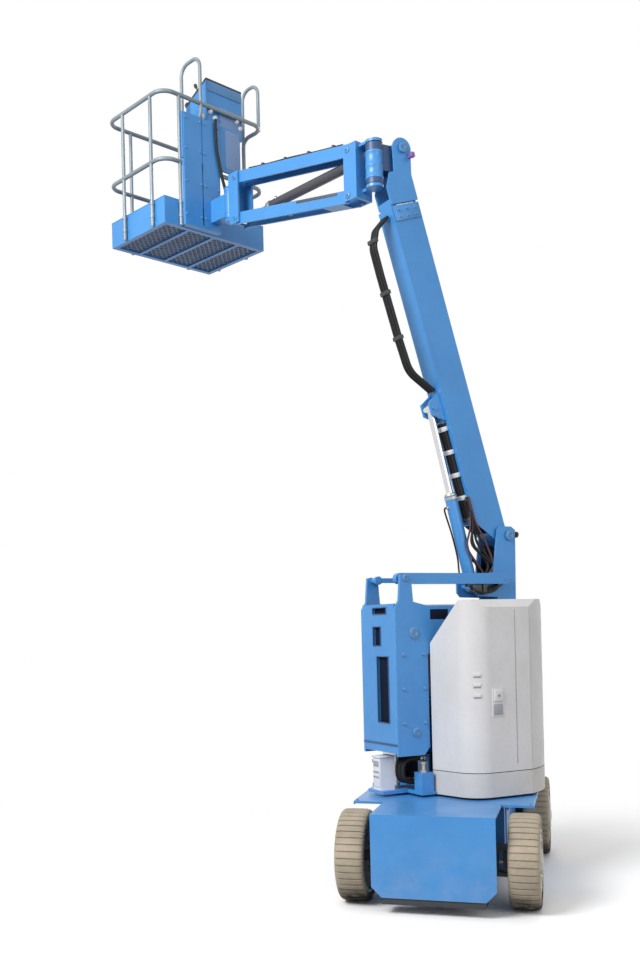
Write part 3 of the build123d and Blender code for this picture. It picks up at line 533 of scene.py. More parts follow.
lowEnd = jointAt("jib_end_level") + jointAt("jib_lower_arm_pivot") - jointAt("jib_lift")
for name, body, centre in (
        ("jib_lift", "jib_yoke", jointAt("jib_lift")),
        ("jib_lower_arm_pivot", "jib_yoke", jointAt("jib_lower_arm_pivot")),
        ("jib_end_level", "jib_end", jointAt("jib_end_level")), ("jib_low_end", "jib_end", lowEnd)):
    @piece(body, "pinPaint", end=f"_{name}")
    def pinEnds(mesh):
        for sign, axis in sideAxes:
            base = place(headingFrame(centre, jibHeading), y=sign * 0.077, axis=axis)
            latheInto(mesh, base, ((0.021, 0), (0.021, 0.005), (0.018, 0.007), (0, 0.007)), 24)
            boltInto(mesh, place(base, 0, 0, 0.006), 0.012, False)
print("pins ready")


# ---- chassis
@piece("chassis", "pinPaint")
def chassisBolts(mesh):
    boltRingInto(mesh, chassisFrame, 24, 0.268, 0.598, 0.016)
    boltsInto(mesh, chassisFrame, (-0.62, -0.2, 0.2, 0.62), (-0.535, 0.535), (0.585,), 0.014)
    for sign, axis in sideAxes:
        boltsInto(mesh, chassisFrame, (-0.98, -0.55, -0.1, 0.3), (sign * 0.368,), (0.16, 0.5),
                  0.014, axis)


@piece("chassis", "bluePaint")
def chassisPanels(mesh):
    # bolted side doors, the tail's pocket frames, folded lips under the fenders
    for xs in ((-0.52, 0.34), (-1.06, -0.94)):
        sideBoxesInto(mesh, chassisFrame, xs, (0.360, 0.368), (0.14, 0.53))
    sideBoxesInto(mesh, chassisFrame, (-1.097, -1.090), (0.06, 0.30), (0.2, 0.48))
    sideBoxesInto(mesh, chassisFrame, (-0.66, 0.66), (0.546, 0.552), (0.563, 0.586), 0.0025)


@piece("chassis", "blackPlastic")
def undersideShadowPlates(mesh):
    # black plates low under the nose and the tail: painted shade of the dark underside
    for x0, x1 in ((0.98, 1.112), (-1.07, -0.94)):
        boxInto(mesh, chassisFrame, (x0, -0.300, 0.058), (x1, 0.300, 0.099), 0.008)


@piece("chassis", "boltSteel")
def tieEyes(mesh):
    # tie-down eyes low on the tail, one each side
    for side in (1, -1):
        centre = place(chassisFrame, -1.092, side * 0.26, 0.15, "-X")
        path = [centre @ Vector((0.022 * x, 0.022 * y, 0.004 + 0.016 * (1 - abs(x))))
                for x, y in circle(24)]
        tubeInto(mesh, path + [path[0]], 0.005, 10)


@piece("chassis", "cylinderBlack")
def steerGlands(mesh):
    profile = [(0.034, 0), (0.034, 0.012)]
    for i in range(4):
        profile += [(0.024, 0.016 + 0.008 * i), (0.030, 0.020 + 0.008 * i)]
    for sign, axis in sideAxes:
        latheInto(mesh, place(chassisFrame, 0.642, sign * 0.12, 0.240, axis),
                  profile + [(0.022, 0.050)], 24)


print("chassis ready")


# ---- turntable: counterweight, boxes under the covers, ground control box
@piece("turntable", "boltSteel")
def weightTrim(mesh):
    for y in (-0.17, 0.17):
        latheInto(mesh, place(turntableFrame, -0.44, y, 1.120), (
            (0.030, 0), (0.030, 0.006), (0.016, 0.010), (0.016, 0.022), (0.010, 0.028),
            (0, 0.028)), 24)
    boltsInto(mesh, turntableFrame, (-0.572,), (-0.15, 0.15), (0.80, 1.00), 0.026, "-X")


batterySpec = {"first": -0.16, "pitch": 0.105}


@piece("turntable", "blackPlastic")
def batteryTops(mesh):
    for i in range(4):
        x = batterySpec["first"] + batterySpec["pitch"] * i
        boxInto(mesh, turntableFrame, (x - 0.046, 0.252, 1.150), (x + 0.046, 0.508, 1.168), 0.006)
        for y in (0.30, 0.38, 0.46):
            latheInto(mesh, place(turntableFrame, x, y, 1.168), (
                (0.014, 0), (0.014, 0.010), (0.010, 0.014), (0, 0.014)), 18)


@piece("turntable", "redPlastic")
def batteryLeads(mesh):
    for i in range(3):
        x = batterySpec["first"] + batterySpec["pitch"] * i
        y = 0.275 if i % 2 else 0.485
        tubeInto(mesh, smoothPath([(x, y, 1.172), (x + 0.02, y, 1.196), (x + 0.085, y, 1.196),
                                   (x + 0.105, y, 1.172)], 6), 0.007, 10)


@piece("turntable", "castIron")
def powerUnitTop(mesh):
    latheInto(mesh, place(turntableFrame, -0.06, -0.36, 1.05), (
        (0.062, 0), (0.062, 0.11), (0.055, 0.125), (0.02, 0.13), (0, 0.13)), 32)
    boxInto(mesh, turntableFrame, (0.05, -0.46, 1.05), (0.17, -0.30, 1.12), 0.008)
    for x in (0.08, 0.14):
        for y in (-0.42, -0.34):
            latheInto(mesh, place(turntableFrame, x, y, 1.12), (
                (0.012, 0), (0.012, 0.014), (0.009, 0.018), (0.009, 0.03), (0, 0.03)), 16)


boxLow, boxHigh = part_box("ground_control_box")


@piece("turntable", "boxWhite")
def groundBoxLid(mesh):
    boxInto(mesh, turntableFrame, (boxHigh.x, boxLow.y + 0.006, boxLow.z + 0.02),
            (boxHigh.x + 0.006, boxHigh.y - 0.006, boxHigh.z - 0.012))
    boxInto(mesh, turntableFrame, (boxLow.x - 0.004, boxLow.y - 0.004, boxHigh.z - 0.006),
            (boxHigh.x + 0.010, boxHigh.y + 0.004, boxHigh.z + 0.006))


@piece("turntable", "greyPlastic")
def groundBoxParts(mesh):
    x = boxHigh.x + 0.006
    boxInto(mesh, turntableFrame, (x, -0.025, 0.775), (x + 0.003, 0.035, 0.812), 0.001)
    for i in range(3):
        for j in range(2):
            latheInto(mesh, place(turntableFrame, x, -0.018 + 0.023 * i, 0.74 - 0.032 * j, "X"), (
                (0.007, 0), (0.007, 0.004), (0.005, 0.006), (0, 0.006)), 16)
    for z in (boxLow.z + 0.03, boxHigh.z - 0.03):
        boxInto(mesh, turntableFrame, (boxHigh.x - 0.03, boxLow.y - 0.008, z - 0.012),
                (boxHigh.x + 0.004, boxLow.y, z + 0.012), 0.002)


@piece("turntable", "redPlastic")
def groundBoxStop(mesh):
    latheInto(mesh, place(turntableFrame, (boxLow.x + boxHigh.x) / 2, boxLow.y, 0.76, "-Y"), (
        (0.011, 0), (0.011, 0.010), (0.019, 0.012), (0.019, 0.020), (0.014, 0.025), (0, 0.026)),
        28)


@piece("turntable", "boltSteel")
def hoseFittings(mesh):
    # nuts where the riser's foot hoses meet the bulkhead
    for y in (0.042, 0.076, 0.110):
        for z in (0.668, 0.818):
            hexInto(mesh, place(turntableFrame, 0.300, y, z, "X"), 0.036, 0.020)
            latheInto(mesh, place(turntableFrame, 0.320, y, z, "X"), (
                (0.0165, 0), (0.0165, 0.024), (0.0145, 0.028)), 24)


@piece("turntable", "boltSteel")
def lockPin(mesh):
    latheInto(mesh, place(turntableFrame, 0.38, 0.2, 0.742), (
        (0.022, 0), (0.022, 0.012), (0.012, 0.016), (0.012, 0.05), (0.018, 0.054), (0.018, 0.064),
        (0, 0.066)), 24)
    boltsInto(mesh, turntableFrame, (0.350, 0.410), (0.160,), (0.69,), 0.014, "-Y")


# dark skirt that hangs under the tray, just clear of the deck: painted shadow in the gap between tray
# and deck
shadowSkirtSpec = {"low": 0.5915, "high": 0.622, "tail": 0.583, "bend": 0.150, "side": 0.550,
            "inner": 0.99}


@piece("turntable", "deepShade")
def shadowSkirt(mesh):
    half = [(0.306, 0.205)]
    for i in range(9):
        turn = math.radians(12 + 78 * i / 8)
        half.append((0.1152 + shadowSkirtSpec["bend"] * math.cos(turn),
                     0.400 + shadowSkirtSpec["bend"] * math.sin(turn)))
    begin = math.pi - math.asin(shadowSkirtSpec["side"] / shadowSkirtSpec["tail"])
    for i in range(13):
        turn = begin + (math.pi - begin) * i / 12
        half.append((shadowSkirtSpec["tail"] * math.cos(turn), shadowSkirtSpec["tail"] * math.sin(turn)))
    loop = half + [(x, -y) for x, y in reversed(half[:-1])]
    low, high, inner = shadowSkirtSpec["low"], shadowSkirtSpec["high"], shadowSkirtSpec["inner"]
    rings = [[mesh.verts.new((x * k, y * k, z)) for x, y in loop]
             for k, z in ((1.0, high), (1.0, low), (inner, low), (inner, high))]
    for a, b in zip(rings, rings[1:] + rings[:1]):
        for i in range(len(loop) - 1):
            mesh.faces.new((a[i], a[i + 1], b[i + 1], b[i]))
    for i in (0, -1):
        mesh.faces.new([ring[i] for ring in rings])


print("turntable ready")

# ---- covers: louvres, latch, hinges and panel joints
coverSpec = {"bend": (0.1152, 0.400), "radius": 0.160, "side": 0.560, "rear": -0.201,
             "louvreTurn": 31, "louvreZ": (1.362, 1.298, 1.232), "latchX": 0.058, "latchZ": 1.195,
             "hingeRadius": 0.595, "hingeY": 0.292}
for side, sign in (("left", 1), ("right", -1)):
    turn = math.radians(coverSpec["louvreTurn"])
    outward = Vector((math.sin(turn), sign * math.cos(turn), 0))
    spot = Vector((*coverSpec["bend"], 0)) * Vector((1, sign, 1)) + outward * coverSpec["radius"]
    bendFace = Matrix((
        (math.cos(turn), 0, outward.x, spot.x), (-sign * math.sin(turn), 0, outward.y, spot.y),
        (0, 1, 0, 0), (0, 0, 0, 1)))
    sideFace = Matrix((
        (1, 0, 0, coverSpec["latchX"]), (0, 0, sign, sign * coverSpec["side"]), (0, 1, 0, 0),
        (0, 0, 0, 1)))
    latchFace = sideFace @ Matrix.Translation((0, coverSpec["latchZ"], 0))
    body, end = f"cover_{side}", f"_{side}"

    @piece(body, "coverPlastic", end)
    def louvres(mesh):
        for z in coverSpec["louvreZ"]:
            boxInto(mesh, bendFace, (-0.024, z - 0.004, -0.004), (0.024, z + 0.018, 0.006), 0.004, 3)

    @piece(body, "greyPlastic", end=end)
    def louvreShade(mesh):
        for z in coverSpec["louvreZ"]:
            boxInto(mesh, bendFace, (-0.022, z - 0.012, -0.003), (0.022, z - 0.003, 0.0015), 0.0008)

    @piece(body, "coverPlastic", end)
    def latchPlate(mesh):
        boxInto(mesh, latchFace, (-0.045, -0.092, -0.001), (0.045, 0.085, 0.003), 0.003, 3)
        boxInto(mesh, latchFace, (-0.034, 0.004, 0.002), (0.034, 0.074, 0.013), 0.008, 4)

    @piece(body, "greyPlastic", end=end)
    def latchPocket(mesh):
        boxInto(mesh, latchFace, (-0.036, -0.082, 0.0025), (0.036, -0.014, 0.0045), 0.0015, 3)
        latheInto(mesh, place(latchFace, 0, 0.040, 0.012), (
            (0.010, 0), (0.010, 0.003), (0.004, 0.003), (0.003, 0.001), (0, 0.001)), 20)

    @piece(body, "greyPlastic", end=end)
    def panelJoints(mesh):
        for x in (-0.0874, -0.206):
            shift = x - coverSpec["latchX"]
            depth = 0.001 if x > coverSpec["rear"] else -0.002
            boxInto(mesh, sideFace, (shift - 0.003, 0.80, depth - 0.004),
                    (shift + 0.003, 1.775, depth), 0.0008)

    @piece(body, "boltSteel", end=end)
    def coverHinges(mesh):
        x = -math.sqrt(coverSpec["hingeRadius"] ** 2 - coverSpec["hingeY"] ** 2)
        y0, y1 = sorted((sign * 0.235, sign * 0.285))
        for z in (0.86, 1.30, 1.66):
            latheInto(mesh, place(turntableFrame, x, sign * coverSpec["hingeY"], z), (
                (0.013, 0), (0.013, 0.05), (0.006, 0.056), (0, 0.056)), 20)
            boxInto(mesh, turntableFrame, (x - 0.006, y0, z + 0.004), (x - 0.001, y1, z + 0.046),
                    0.0015)
print("covers ready")

# ---- riser: y and z of the middle pivot's openings
midSlots = ((-0.020, 0.115, 1.060, 1.490), (-0.060, 0.030, 1.560, 1.684),
            (-0.060, 0.100, 1.766, 1.808))


@piece("mid_pivot", "pinPaint")
def midPivotBolts(mesh):
    for sign, axis in sideAxes:
        boltsInto(mesh, turntableFrame, (0.36, 0.52), (sign * 0.206,), (1.06, 1.28, 1.50), 0.016,
                  axis)


@piece("mid_pivot", "darkBluePaint")
def midPivotTrim(mesh):
    # rolled edges round the openings of the front web
    for y0, y1, z0, z1 in midSlots:
        path = [Vector((0.5745, y, z)) for y, z in (
            (y0, z0), (y1, z0), (y1, z1), (y0, z1), (y0, z0))]
        for a, b in zip(path, path[1:]):
            tubeInto(mesh, [a, b], 0.0035, 8)
    boxInto(mesh, turntableFrame, (0.573, -0.200, 0.918), (0.581, 0.200, 0.930))


@piece("mid_pivot", "deepShade")
def midPivotShadeSheets(mesh):
    # dark sheet behind the openings, and dark patches on the side plates for their cut-outs: painted
    # shade of the hollow inside
    for y0, y1, z0, z1 in midSlots:
        boxInto(mesh, turntableFrame, (0.5475, y0 - 0.012, z0 - 0.012),
                (0.5535, y1 + 0.012, z1 + 0.012), 0.001)
    sideBoxesInto(mesh, turntableFrame, (0.165, 0.305), (0.2055, 0.2072), (1.725, 1.790), 0.0006)


# name, body, top of the arm, foot of the hoses
for name, body, top, foot in (("upperArm", "upper_arm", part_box("upper_arm")[1].z, -0.30),
                              ("lowerArm", "lower_arm", 1.070, -0.28)):
    def armHoses(mesh):
        for y in (-0.026, 0.0, 0.026):
            path = [(foot + share * (0.31 - foot), y, top + rise) for share, rise in (
                (0, 0.012), (0.25, 0.024), (0.5, 0.012), (0.75, 0.024), (1, 0.012))]
            tubeInto(mesh, smoothPath(path), 0.009)

    def armClamps(mesh):
        for x in (-0.15, 0.005, 0.16):
            boxInto(mesh, turntableFrame, (x - 0.012, -0.050, top), (x + 0.012, 0.050, top + 0.030),
                    0.004)
            boltsInto(mesh, turntableFrame, (x,), (-0.043, 0.043), (top + 0.030,), 0.009,
                      washer=False)

    makePiece(f"{name}Hoses", body, "hoseRubber", armHoses)
    makePiece(f"{name}Clamps", body, "blackPlastic", armClamps)

linkUnder = jointAt("upper_link_pivot").z - 0.036


@piece("upper_link", "hoseRubber")
def linkHoses(mesh):
    for y, drop in ((0.118, 0.018), (0.130, 0.030), (0.142, 0.044)):
        path = smoothPath([(x, y, linkUnder - depth) for x, depth in (
            (-0.315, 0.006), (-0.27, drop), (-0.19, drop + 0.016), (-0.11, drop), (-0.06, 0.006))])
        tubeInto(mesh, path, 0.0085)


@piece("upper_link", "blackPlastic")
def linkClamps(mesh):
    for x, depth in ((-0.315, 0.020), (-0.19, 0.072), (-0.06, 0.020)):
        boxInto(mesh, turntableFrame, (x - 0.015, 0.111, linkUnder - depth),
                (x + 0.015, 0.149, linkUnder), 0.004)
    boxInto(mesh, turntableFrame, (-0.165, 0.112, linkUnder - 0.060),
            (-0.085, 0.148, linkUnder - 0.004), 0.006)


print("riser ready")


# ---- main boom: collar at its mouth, wear pads, hoses and their clips
@piece("main_boom", "bluePaint")
def boomCollar(mesh):
    sideBoxesInto(mesh, boomFrame, (2.20, 2.296), (0.075, 0.081), (-0.205, 0.0))
    boxInto(mesh, boomFrame, (2.20, -0.066, 0.010), (2.296, 0.066, 0.016))


@piece("main_boom", "pinPaint")
def boomScrews(mesh):
    for sign, axis in sideAxes:
        boltsInto(mesh, boomFrame, (2.225, 2.27), (sign * 0.081,), (-0.17, -0.1025, -0.035), 0.012,
                  axis)
    boltsInto(mesh, boomFrame, (2.225, 2.27), (-0.04, 0.04), (0.016,), 0.012)


@piece("main_boom", "wearPad")
def boomPads(mesh):
    sideBoxesInto(mesh, boomFrame, (2.285, 2.306), (0.0645, 0.0735), (-0.17, -0.03), 0.001)
    boxInto(mesh, boomFrame, (2.285, -0.055, -0.0005), (2.306, 0.055, 0.0085), 0.001)


@piece("main_boom", "paleClip")
def hoseClips(mesh):
    for x in (0.34, 0.50, 0.66, 0.82):
        boxInto(mesh, boomFrame, (x - 0.016, -0.046, -0.243), (x + 0.016, 0.046, -0.215), 0.005)


@piece("main_boom", "blackPlastic")
def hoseClamps(mesh):
    for x, z in ((2.12, -0.372), (1.78, -0.384), (1.48, -0.380)):
        boxInto(mesh, boomFrame, (x - 0.014, -0.044, z - 0.016), (x + 0.014, 0.044, z + 0.016),
                0.005)


@piece("main_boom", "boltSteel")
def hoseEnds(mesh):
    for y in (-0.028, 0.0, 0.028):
        for x, axis, across in ((0.204, "-X", 0.020), (0.846, "X", 0.014)):
            hexInto(mesh, place(boomFrame, x, y, -0.227, axis), across, 0.018)


# y, sag, lowest place on the pivot, radius
tailTable = ((0.056, 0.03, -0.300, 0.0085), (0.066, -0.03, -0.262, 0.0080),
             (0.079, 0.06, -0.335, 0.0075), (0.062, 0.09, -0.245, 0.0070),
             (0.072, 0.01, -0.318, 0.0085), (0.080, -0.05, -0.282, 0.0070),
             (-0.058, 0.02, -0.290, 0.0085), (-0.066, 0.07, -0.250, 0.0075),
             (-0.074, 0.05, -0.325, 0.0080))
maroonTails = (3, 5)
for i, (y, sag, foot, radius) in enumerate(tailTable):
    path = [boomFrame @ Vector(p) for p in (
        (0.34, y, -0.226), (0.25, y, -0.230), (0.14, y, -0.236 - sag * 0.3), (0.02, y, -0.24 - sag))]
    path += [(foot + sag * 0.6, y, 2.10), (foot, y, 2.03), (foot, y, 1.99)]
    hose = makePiece(f"tailHose_{i}", None, "maroonHose" if i in maroonTails else "hoseRubber",
                     lambda mesh: tubeInto(mesh, smoothPath(path), radius))
    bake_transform(hose)


@piece("upper_pivot", "darkSteel")
def tailBlock(mesh):
    sideBoxesInto(mesh, turntableFrame, (-0.345, -0.232), (0.050, 0.0885), (1.925, 1.982), 0.004)
    for y, sag, foot, radius in tailTable:
        hexInto(mesh, place(turntableFrame, foot, y, 1.980), 0.017, 0.016)


@piece("upper_pivot", "deepShade")
def tailShadeSheets(mesh):
    # dark sheets beside and behind the hose tails: painted shade of the space between the cheek
    # plates
    boxInto(mesh, turntableFrame, (-0.459, -0.0895, 1.96), (-0.345, -0.0865, 2.235), 0.001)
    boxInto(mesh, turntableFrame, (-0.461, -0.084, 1.96), (-0.458, 0.084, 2.14), 0.001)


@piece("main_boom", "blackPlastic")
def tailClamp(mesh):
    for x in (0.18, 0.32):
        boxInto(mesh, boomFrame, (x - 0.010, 0.0475, -0.240), (x + 0.010, 0.0738, -0.214), 0.004)
        boxInto(mesh, boomFrame, (x - 0.010, -0.0855, -0.240), (x + 0.010, -0.041, -0.214), 0.004)


@piece("upper_pivot", "blackPlastic")
def releaseKnob(mesh):
    # release knob on a bracket behind the boom's foot
    boxInto(mesh, turntableFrame, (-0.492, 0.055, 2.270), (-0.486, 0.095, 2.325), 0.002)
    latheInto(mesh, place(turntableFrame, -0.488, 0.075, 2.300, "-X"), (
        (0.010, 0), (0.010, 0.018), (0.022, 0.022), (0.022, 0.038), (0.016, 0.044), (0, 0.044)), 24)


# ---- cylinders: glands, ports and their hoses
# name, barrel radius, rod radius, barrel length, turn of the ports, whether a hose runs back
cylinderTable = (("riser", 0.045, 0.025, 0.400, 0, True), ("lift", 0.042, 0.024, 0.640, 180, True),
                 ("jib", 0.034, 0.018, 0.850, 0, False))
for name, barrel, rod, length, portTurn, hasFeed in cylinderTable:
    slide = Vector(joints[f"{name}_rod_slide"]["axis"]).normalized()
    base = Matrix.Translation(jointAt(f"{name}_barrel_pivot")) @ slide.to_track_quat(
        "X", "Z").to_matrix().to_4x4() @ Matrix.Rotation(math.radians(portTurn), 4, "X")
    body, end = f"{name}_barrel", f"_{name}"

    @piece(body, "boltSteel", end=end)
    def gland(mesh):
        latheInto(mesh, place(base, length - 0.002, 0, 0, "X"), (
            (barrel * 0.96, 0), (barrel * 0.96, 0.010), (barrel * 0.88, 0.014),
            (rod + 0.006, 0.014), (rod + 0.003, 0.020), (rod + 0.0015, 0.020)), 36)
        latheInto(mesh, place(base, length - 0.030, 0, 0, "X"), (
            (barrel + 0.0005, 0), (barrel + 0.003, 0.002), (barrel + 0.003, 0.020),
            (barrel + 0.0005, 0.022)), 36)

    @piece(body, "boltSteel", end=end)
    def ports(mesh):
        for x in (0.075, length - 0.075):
            latheInto(mesh, place(base, x, 0, barrel - 0.003, "Z"), (
                (0.013, 0), (0.013, 0.008), (0, 0.008)), 20)
            hexInto(mesh, place(base, x, 0, barrel + 0.004, "Z"), 0.019, 0.012)

    def feed(mesh):
        # hose from the far port back along the barrel
        top = barrel + 0.016
        path = smoothPath([(length - 0.075, 0, top), (length - 0.078, 0, top + 0.012),
                           (length - 0.11, 0.004, top + 0.014), (length * 0.6, 0.010, barrel + 0.012),
                           (length * 0.35, 0.010, barrel + 0.010), (0.12, 0.006, top + 0.012),
                           (0.080, 0, top + 0.012), (0.075, 0, top)])
        tubeInto(mesh, [base @ p for p in path], 0.006, 10)

    if hasFeed:
        makePiece(f"feed_{name}", body, "hoseRubber", feed)
print("booms and cylinders ready")

# ---- boom head and jib
swingFrame = headFrame @ Matrix.Translation((swingPlace.x - headFrame.translation.x, 0, 0))


@piece("level_block", "bluePaint")
def swingDrive(mesh):
    # housing of the swing joint, with three ribs
    profile = []
    for z in (0.0, 0.075, 0.165):
        profile += [(0.0575, z), (0.0605, z + 0.004), (0.0605, z + 0.012), (0.0575, z + 0.016)]
    latheInto(mesh, place(swingFrame, 0, 0, -0.205), profile, 48)


@piece("jib_yoke", "boltSteel")
def swingBolts(mesh):
    boltRingInto(mesh, swingFrame, 8, 0.044, 0.051, 0.009, start=0.5)


@piece("boom_extension", "purplePlastic")
def sideKnob(mesh):
    latheInto(mesh, place(headFrame, -0.055, 0.092, -0.05, "Y"), (
        (0.012, -0.014), (0.012, 0.012), (0.020, 0.016), (0.020, 0.030), (0.013, 0.036),
        (0, 0.036)), 24)


armRun = jointAt("jib_end_level") - jointAt("jib_lift")
armTilt = Matrix.Rotation(-math.atan2(armRun.z, armRun.xy.length), 4, "Y")
upperArmFrame = headingFrame(jointAt("jib_lift"), jibHeading) @ armTilt
lowerArmFrame = headingFrame(jointAt("jib_lower_arm_pivot"), jibHeading) @ armTilt
armSide = max(abs((lowerArmFrame.inverted() @ v.co).y)
              for v in nodes["jib_lower_arm"].data.vertices)


@piece("jib_upper_arm", "hoseRubber")
def jibHoses(mesh):
    for y in (-0.022, 0.0, 0.022):
        path = smoothPath([(x, y, z) for x, z in (
            (0.10, 0.060), (0.35, 0.058), (0.60, 0.062), (0.85, 0.058), (1.06, 0.060))])
        tubeInto(mesh, [upperArmFrame @ p for p in path], 0.0085)


@piece("jib_upper_arm", "blackPlastic")
def jibHoseClips(mesh):
    for x in (0.18, 0.42, 0.66, 0.90):
        boxInto(mesh, upperArmFrame, (x - 0.010, -0.040, 0.044), (x + 0.010, 0.040, 0.073), 0.004)


def bossesInto(mesh, base):
    for x in (0.0, 1.160):
        for sign, axis in sideAxes:
            latheInto(mesh, place(base, x, sign * 0.0585, 0, axis), (
                (0.029, 0), (0.029, 0.002), (0.027, 0.003), (0.018, 0.003), (0.0165, 0.001)), 32)


@piece("jib_upper_arm", "bluePaint")
def upperArmBosses(mesh):
    bossesInto(mesh, upperArmFrame)


@piece("jib_lower_arm", "bluePaint")
def lowerArmBosses(mesh):
    bossesInto(mesh, lowerArmFrame)


@piece("jib_lower_arm", "paleClip")
def jibLowBracket(mesh):
    boxInto(mesh, lowerArmFrame, (0.66, -0.047, 0.040), (0.70, 0.047, 0.046), 0.002)
    sideBoxesInto(mesh, lowerArmFrame, (0.66, 0.70), (0.047, 0.041), (-0.02, 0.046), 0.002)


@piece("jib_lower_arm", "darkSteel")
def jibArmShadowStrip(mesh):
    # thin dark strip along the lower arm's side near its upper edge: painted shadow
    sideBoxesInto(mesh, lowerArmFrame, (0.12, 0.52), (armSide, armSide + 0.002), (0.018, 0.037),
                  0.0008)


@piece("jib_end", "boltSteel")
def rotatorBolts(mesh):
    boltRingInto(mesh, basketFrame, 6, 0.036, jointAt("jib_end_level").z - 0.022, 0.010)


print("head and jib ready")

# ---- basket
basketSpec = {"rear": 0.255, "front": 0.955, "right": -0.560, "left": 0.440, "floor": 4.800,
              "toe": 4.965, "lip": 0.009, "rim": 0.041, "rib": 0.016}
rear, front = basketSpec["rear"], basketSpec["front"]
right, left = basketSpec["right"], basketSpec["left"]
bayWidth = (left - right) / 4
floorBays = [(right + bayWidth * i + (basketSpec["rim"] if i == 0 else basketSpec["rib"]),
              right + bayWidth * (i + 1) - (basketSpec["rim"] if i == 3 else basketSpec["rib"]))
             for i in range(4)]
gripSpec = {"columns": 15, "rows": 22, "length": 0.016, "width": 0.005, "height": 0.0018,
            "edge": 0.03}
gridSpec = {"pitch": 0.052, "half": 0.0035, "z": 4.779, "shortest": 0.01}


@piece("basket", "darkBluePaint")
def floorGrip(mesh):
    depth = front - rear - 2 * gripSpec["edge"]
    width = left - right - 2 * gripSpec["edge"]
    tip, flank = gripSpec["length"], gripSpec["width"]
    outline = ((-tip, 0), (-tip * 0.4, -flank), (tip * 0.4, -flank), (tip, 0),
               (tip * 0.4, flank), (-tip * 0.4, flank))
    for i in range(gripSpec["columns"]):
        for j in range(gripSpec["rows"]):
            x = rear + gripSpec["edge"] + depth * (i + 0.5) / gripSpec["columns"]
            y = right + gripSpec["edge"] + width * (j + 0.5) / gripSpec["rows"]
            base = basketFrame @ Matrix.Translation((x, y, basketSpec["floor"])) @ (
                Matrix.Rotation(math.radians(45 if (i + j) % 2 else -45), 4, "Z"))
            low, high = [[mesh.verts.new(base @ Vector((u * ku, v * kv, z))) for u, v in outline]
                         for ku, kv, z in ((1, 1, -0.0005), (0.7, 0.6, gripSpec["height"]))]
            bandInto(mesh, low, high)
            mesh.faces.new(high)
            mesh.faces.new(list(reversed(low)))


@piece("basket", "dullSteel")
def floorBacking(mesh):
    for y0, y1 in floorBays:
        boxInto(mesh, basketFrame, (rear + basketSpec["rim"], y0, 4.789),
                (front - basketSpec["rim"], y1, 4.794), 0.001)


@piece("basket", "greyBlueSheet")
def floorGrid(mesh):
    # diamond mesh hung in each bay of the frame, its diagonals clipped to the bay
    x0, x1 = rear + basketSpec["rim"], front - basketSpec["rim"]
    thick = gridSpec["half"]
    for y0, y1 in floorBays:
        for lean in (1, -1):
            shift = -(y1 - y0)
            while shift < x1 - x0:
                a, b = max(0.0, -shift), min(y1 - y0, x1 - x0 - shift)
                if b - a > gridSpec["shortest"]:
                    start, stop = [Vector((x0 + shift + t, y0 + t if lean > 0 else y1 - t,
                                           gridSpec["z"])) for t in (a, b)]
                    half = (stop - start).length / 2
                    base = basketFrame @ Matrix.Translation((start + stop) / 2) @ (
                        Matrix.Rotation(math.radians(45 * lean), 4, "Z"))
                    boxInto(mesh, base, (-half, -thick, -0.003), (half, thick, 0.003), 0)
                shift += gridSpec["pitch"]


@piece("basket", "bluePaint")
def toeLips(mesh):
    # folded lip along the toe boards' top edge
    lip, out = basketSpec["lip"], 0.002
    low, high = basketSpec["toe"] - 0.006, basketSpec["toe"] + 0.003
    for x0, y0, x1, y1 in ((rear - out, right - out, rear + lip, left + out),
                           (front - lip, right - out, front + out, left + out),
                           (rear + lip, right - out, front - lip, right + lip),
                           (rear + lip, left - lip, front - lip, left + out)):
        boxInto(mesh, basketFrame, (x0, y0, low), (x1, y1, high), 0.002)


@piece("basket", "railSteel")
def railFeet(mesh):
    # clamps that hold the posts to the toe boards
    for x, y in ((0.489, -0.576), (0.841, -0.576), (0.389, 0.456), (0.751, 0.456),
                 (0.239, 0.296), (0.971, 0.226), (0.971, -0.346)):
        for z in (4.83, 4.93):
            latheInto(mesh, place(basketFrame, x, y, z), (
                (0.0142, 0), (0.018, 0.001), (0.018, 0.022), (0.0142, 0.023)), 24)


# ---- console: a frame that lies on its sloping top
consoleSpec = {"rear": 0.261, "front": 0.520, "high": 5.985, "low": 5.860, "right": -0.360}
consoleFall = consoleSpec["high"] - consoleSpec["low"]
consoleDepth = consoleSpec["front"] - consoleSpec["rear"]
run = math.hypot(consoleFall, consoleDepth)
consoleFrame = basketFrame @ Matrix.Translation(
    (consoleSpec["rear"], consoleSpec["right"], consoleSpec["high"])) @ Matrix.Rotation(
    math.atan2(consoleFall, consoleDepth), 4, "Y")


@piece("basket", "pinPaint")
def consoleFold(mesh):
    # folded edge of the upper box
    boxInto(mesh, basketFrame, (0.255, -0.352, 5.90), (0.2615, -0.008, 5.975), 0.002)


@piece("basket", "greyBlueSheet")
def consoleSheet(mesh):
    boxInto(mesh, basketFrame, (0.2565, -0.345, 5.615), (0.2612, -0.130, 5.80), 0.001)
    boxInto(mesh, basketFrame, (0.1960, -0.272, 5.30), (0.1995, -0.125, 5.60), 0.001)


@piece("basket", "paleClip")
def rearSockets(mesh):
    for y, z in ((-0.030, 5.735), (-0.075, 5.700), (-0.300, 5.735), (-0.335, 5.690)):
        latheInto(mesh, place(basketFrame, 0.2612, y, z, "-X"), (
            (0.017, 0), (0.017, 0.008), (0.013, 0.011), (0.013, 0.022), (0.008, 0.025),
            (0, 0.025)), 20)


@piece("basket", "paleClip")
def consoleSockets(mesh):
    # cable sockets on the console's side
    for x, z in ((0.30, 5.70), (0.42, 5.68), (0.36, 5.64)):
        latheInto(mesh, place(basketFrame, x, 0.004, z, "Y"), (
            (0.020, -0.004), (0.020, 0.010), (0.017, 0.013), (0.017, 0.030), (0.011, 0.034),
            (0.011, 0.046), (0, 0.046)), 24)


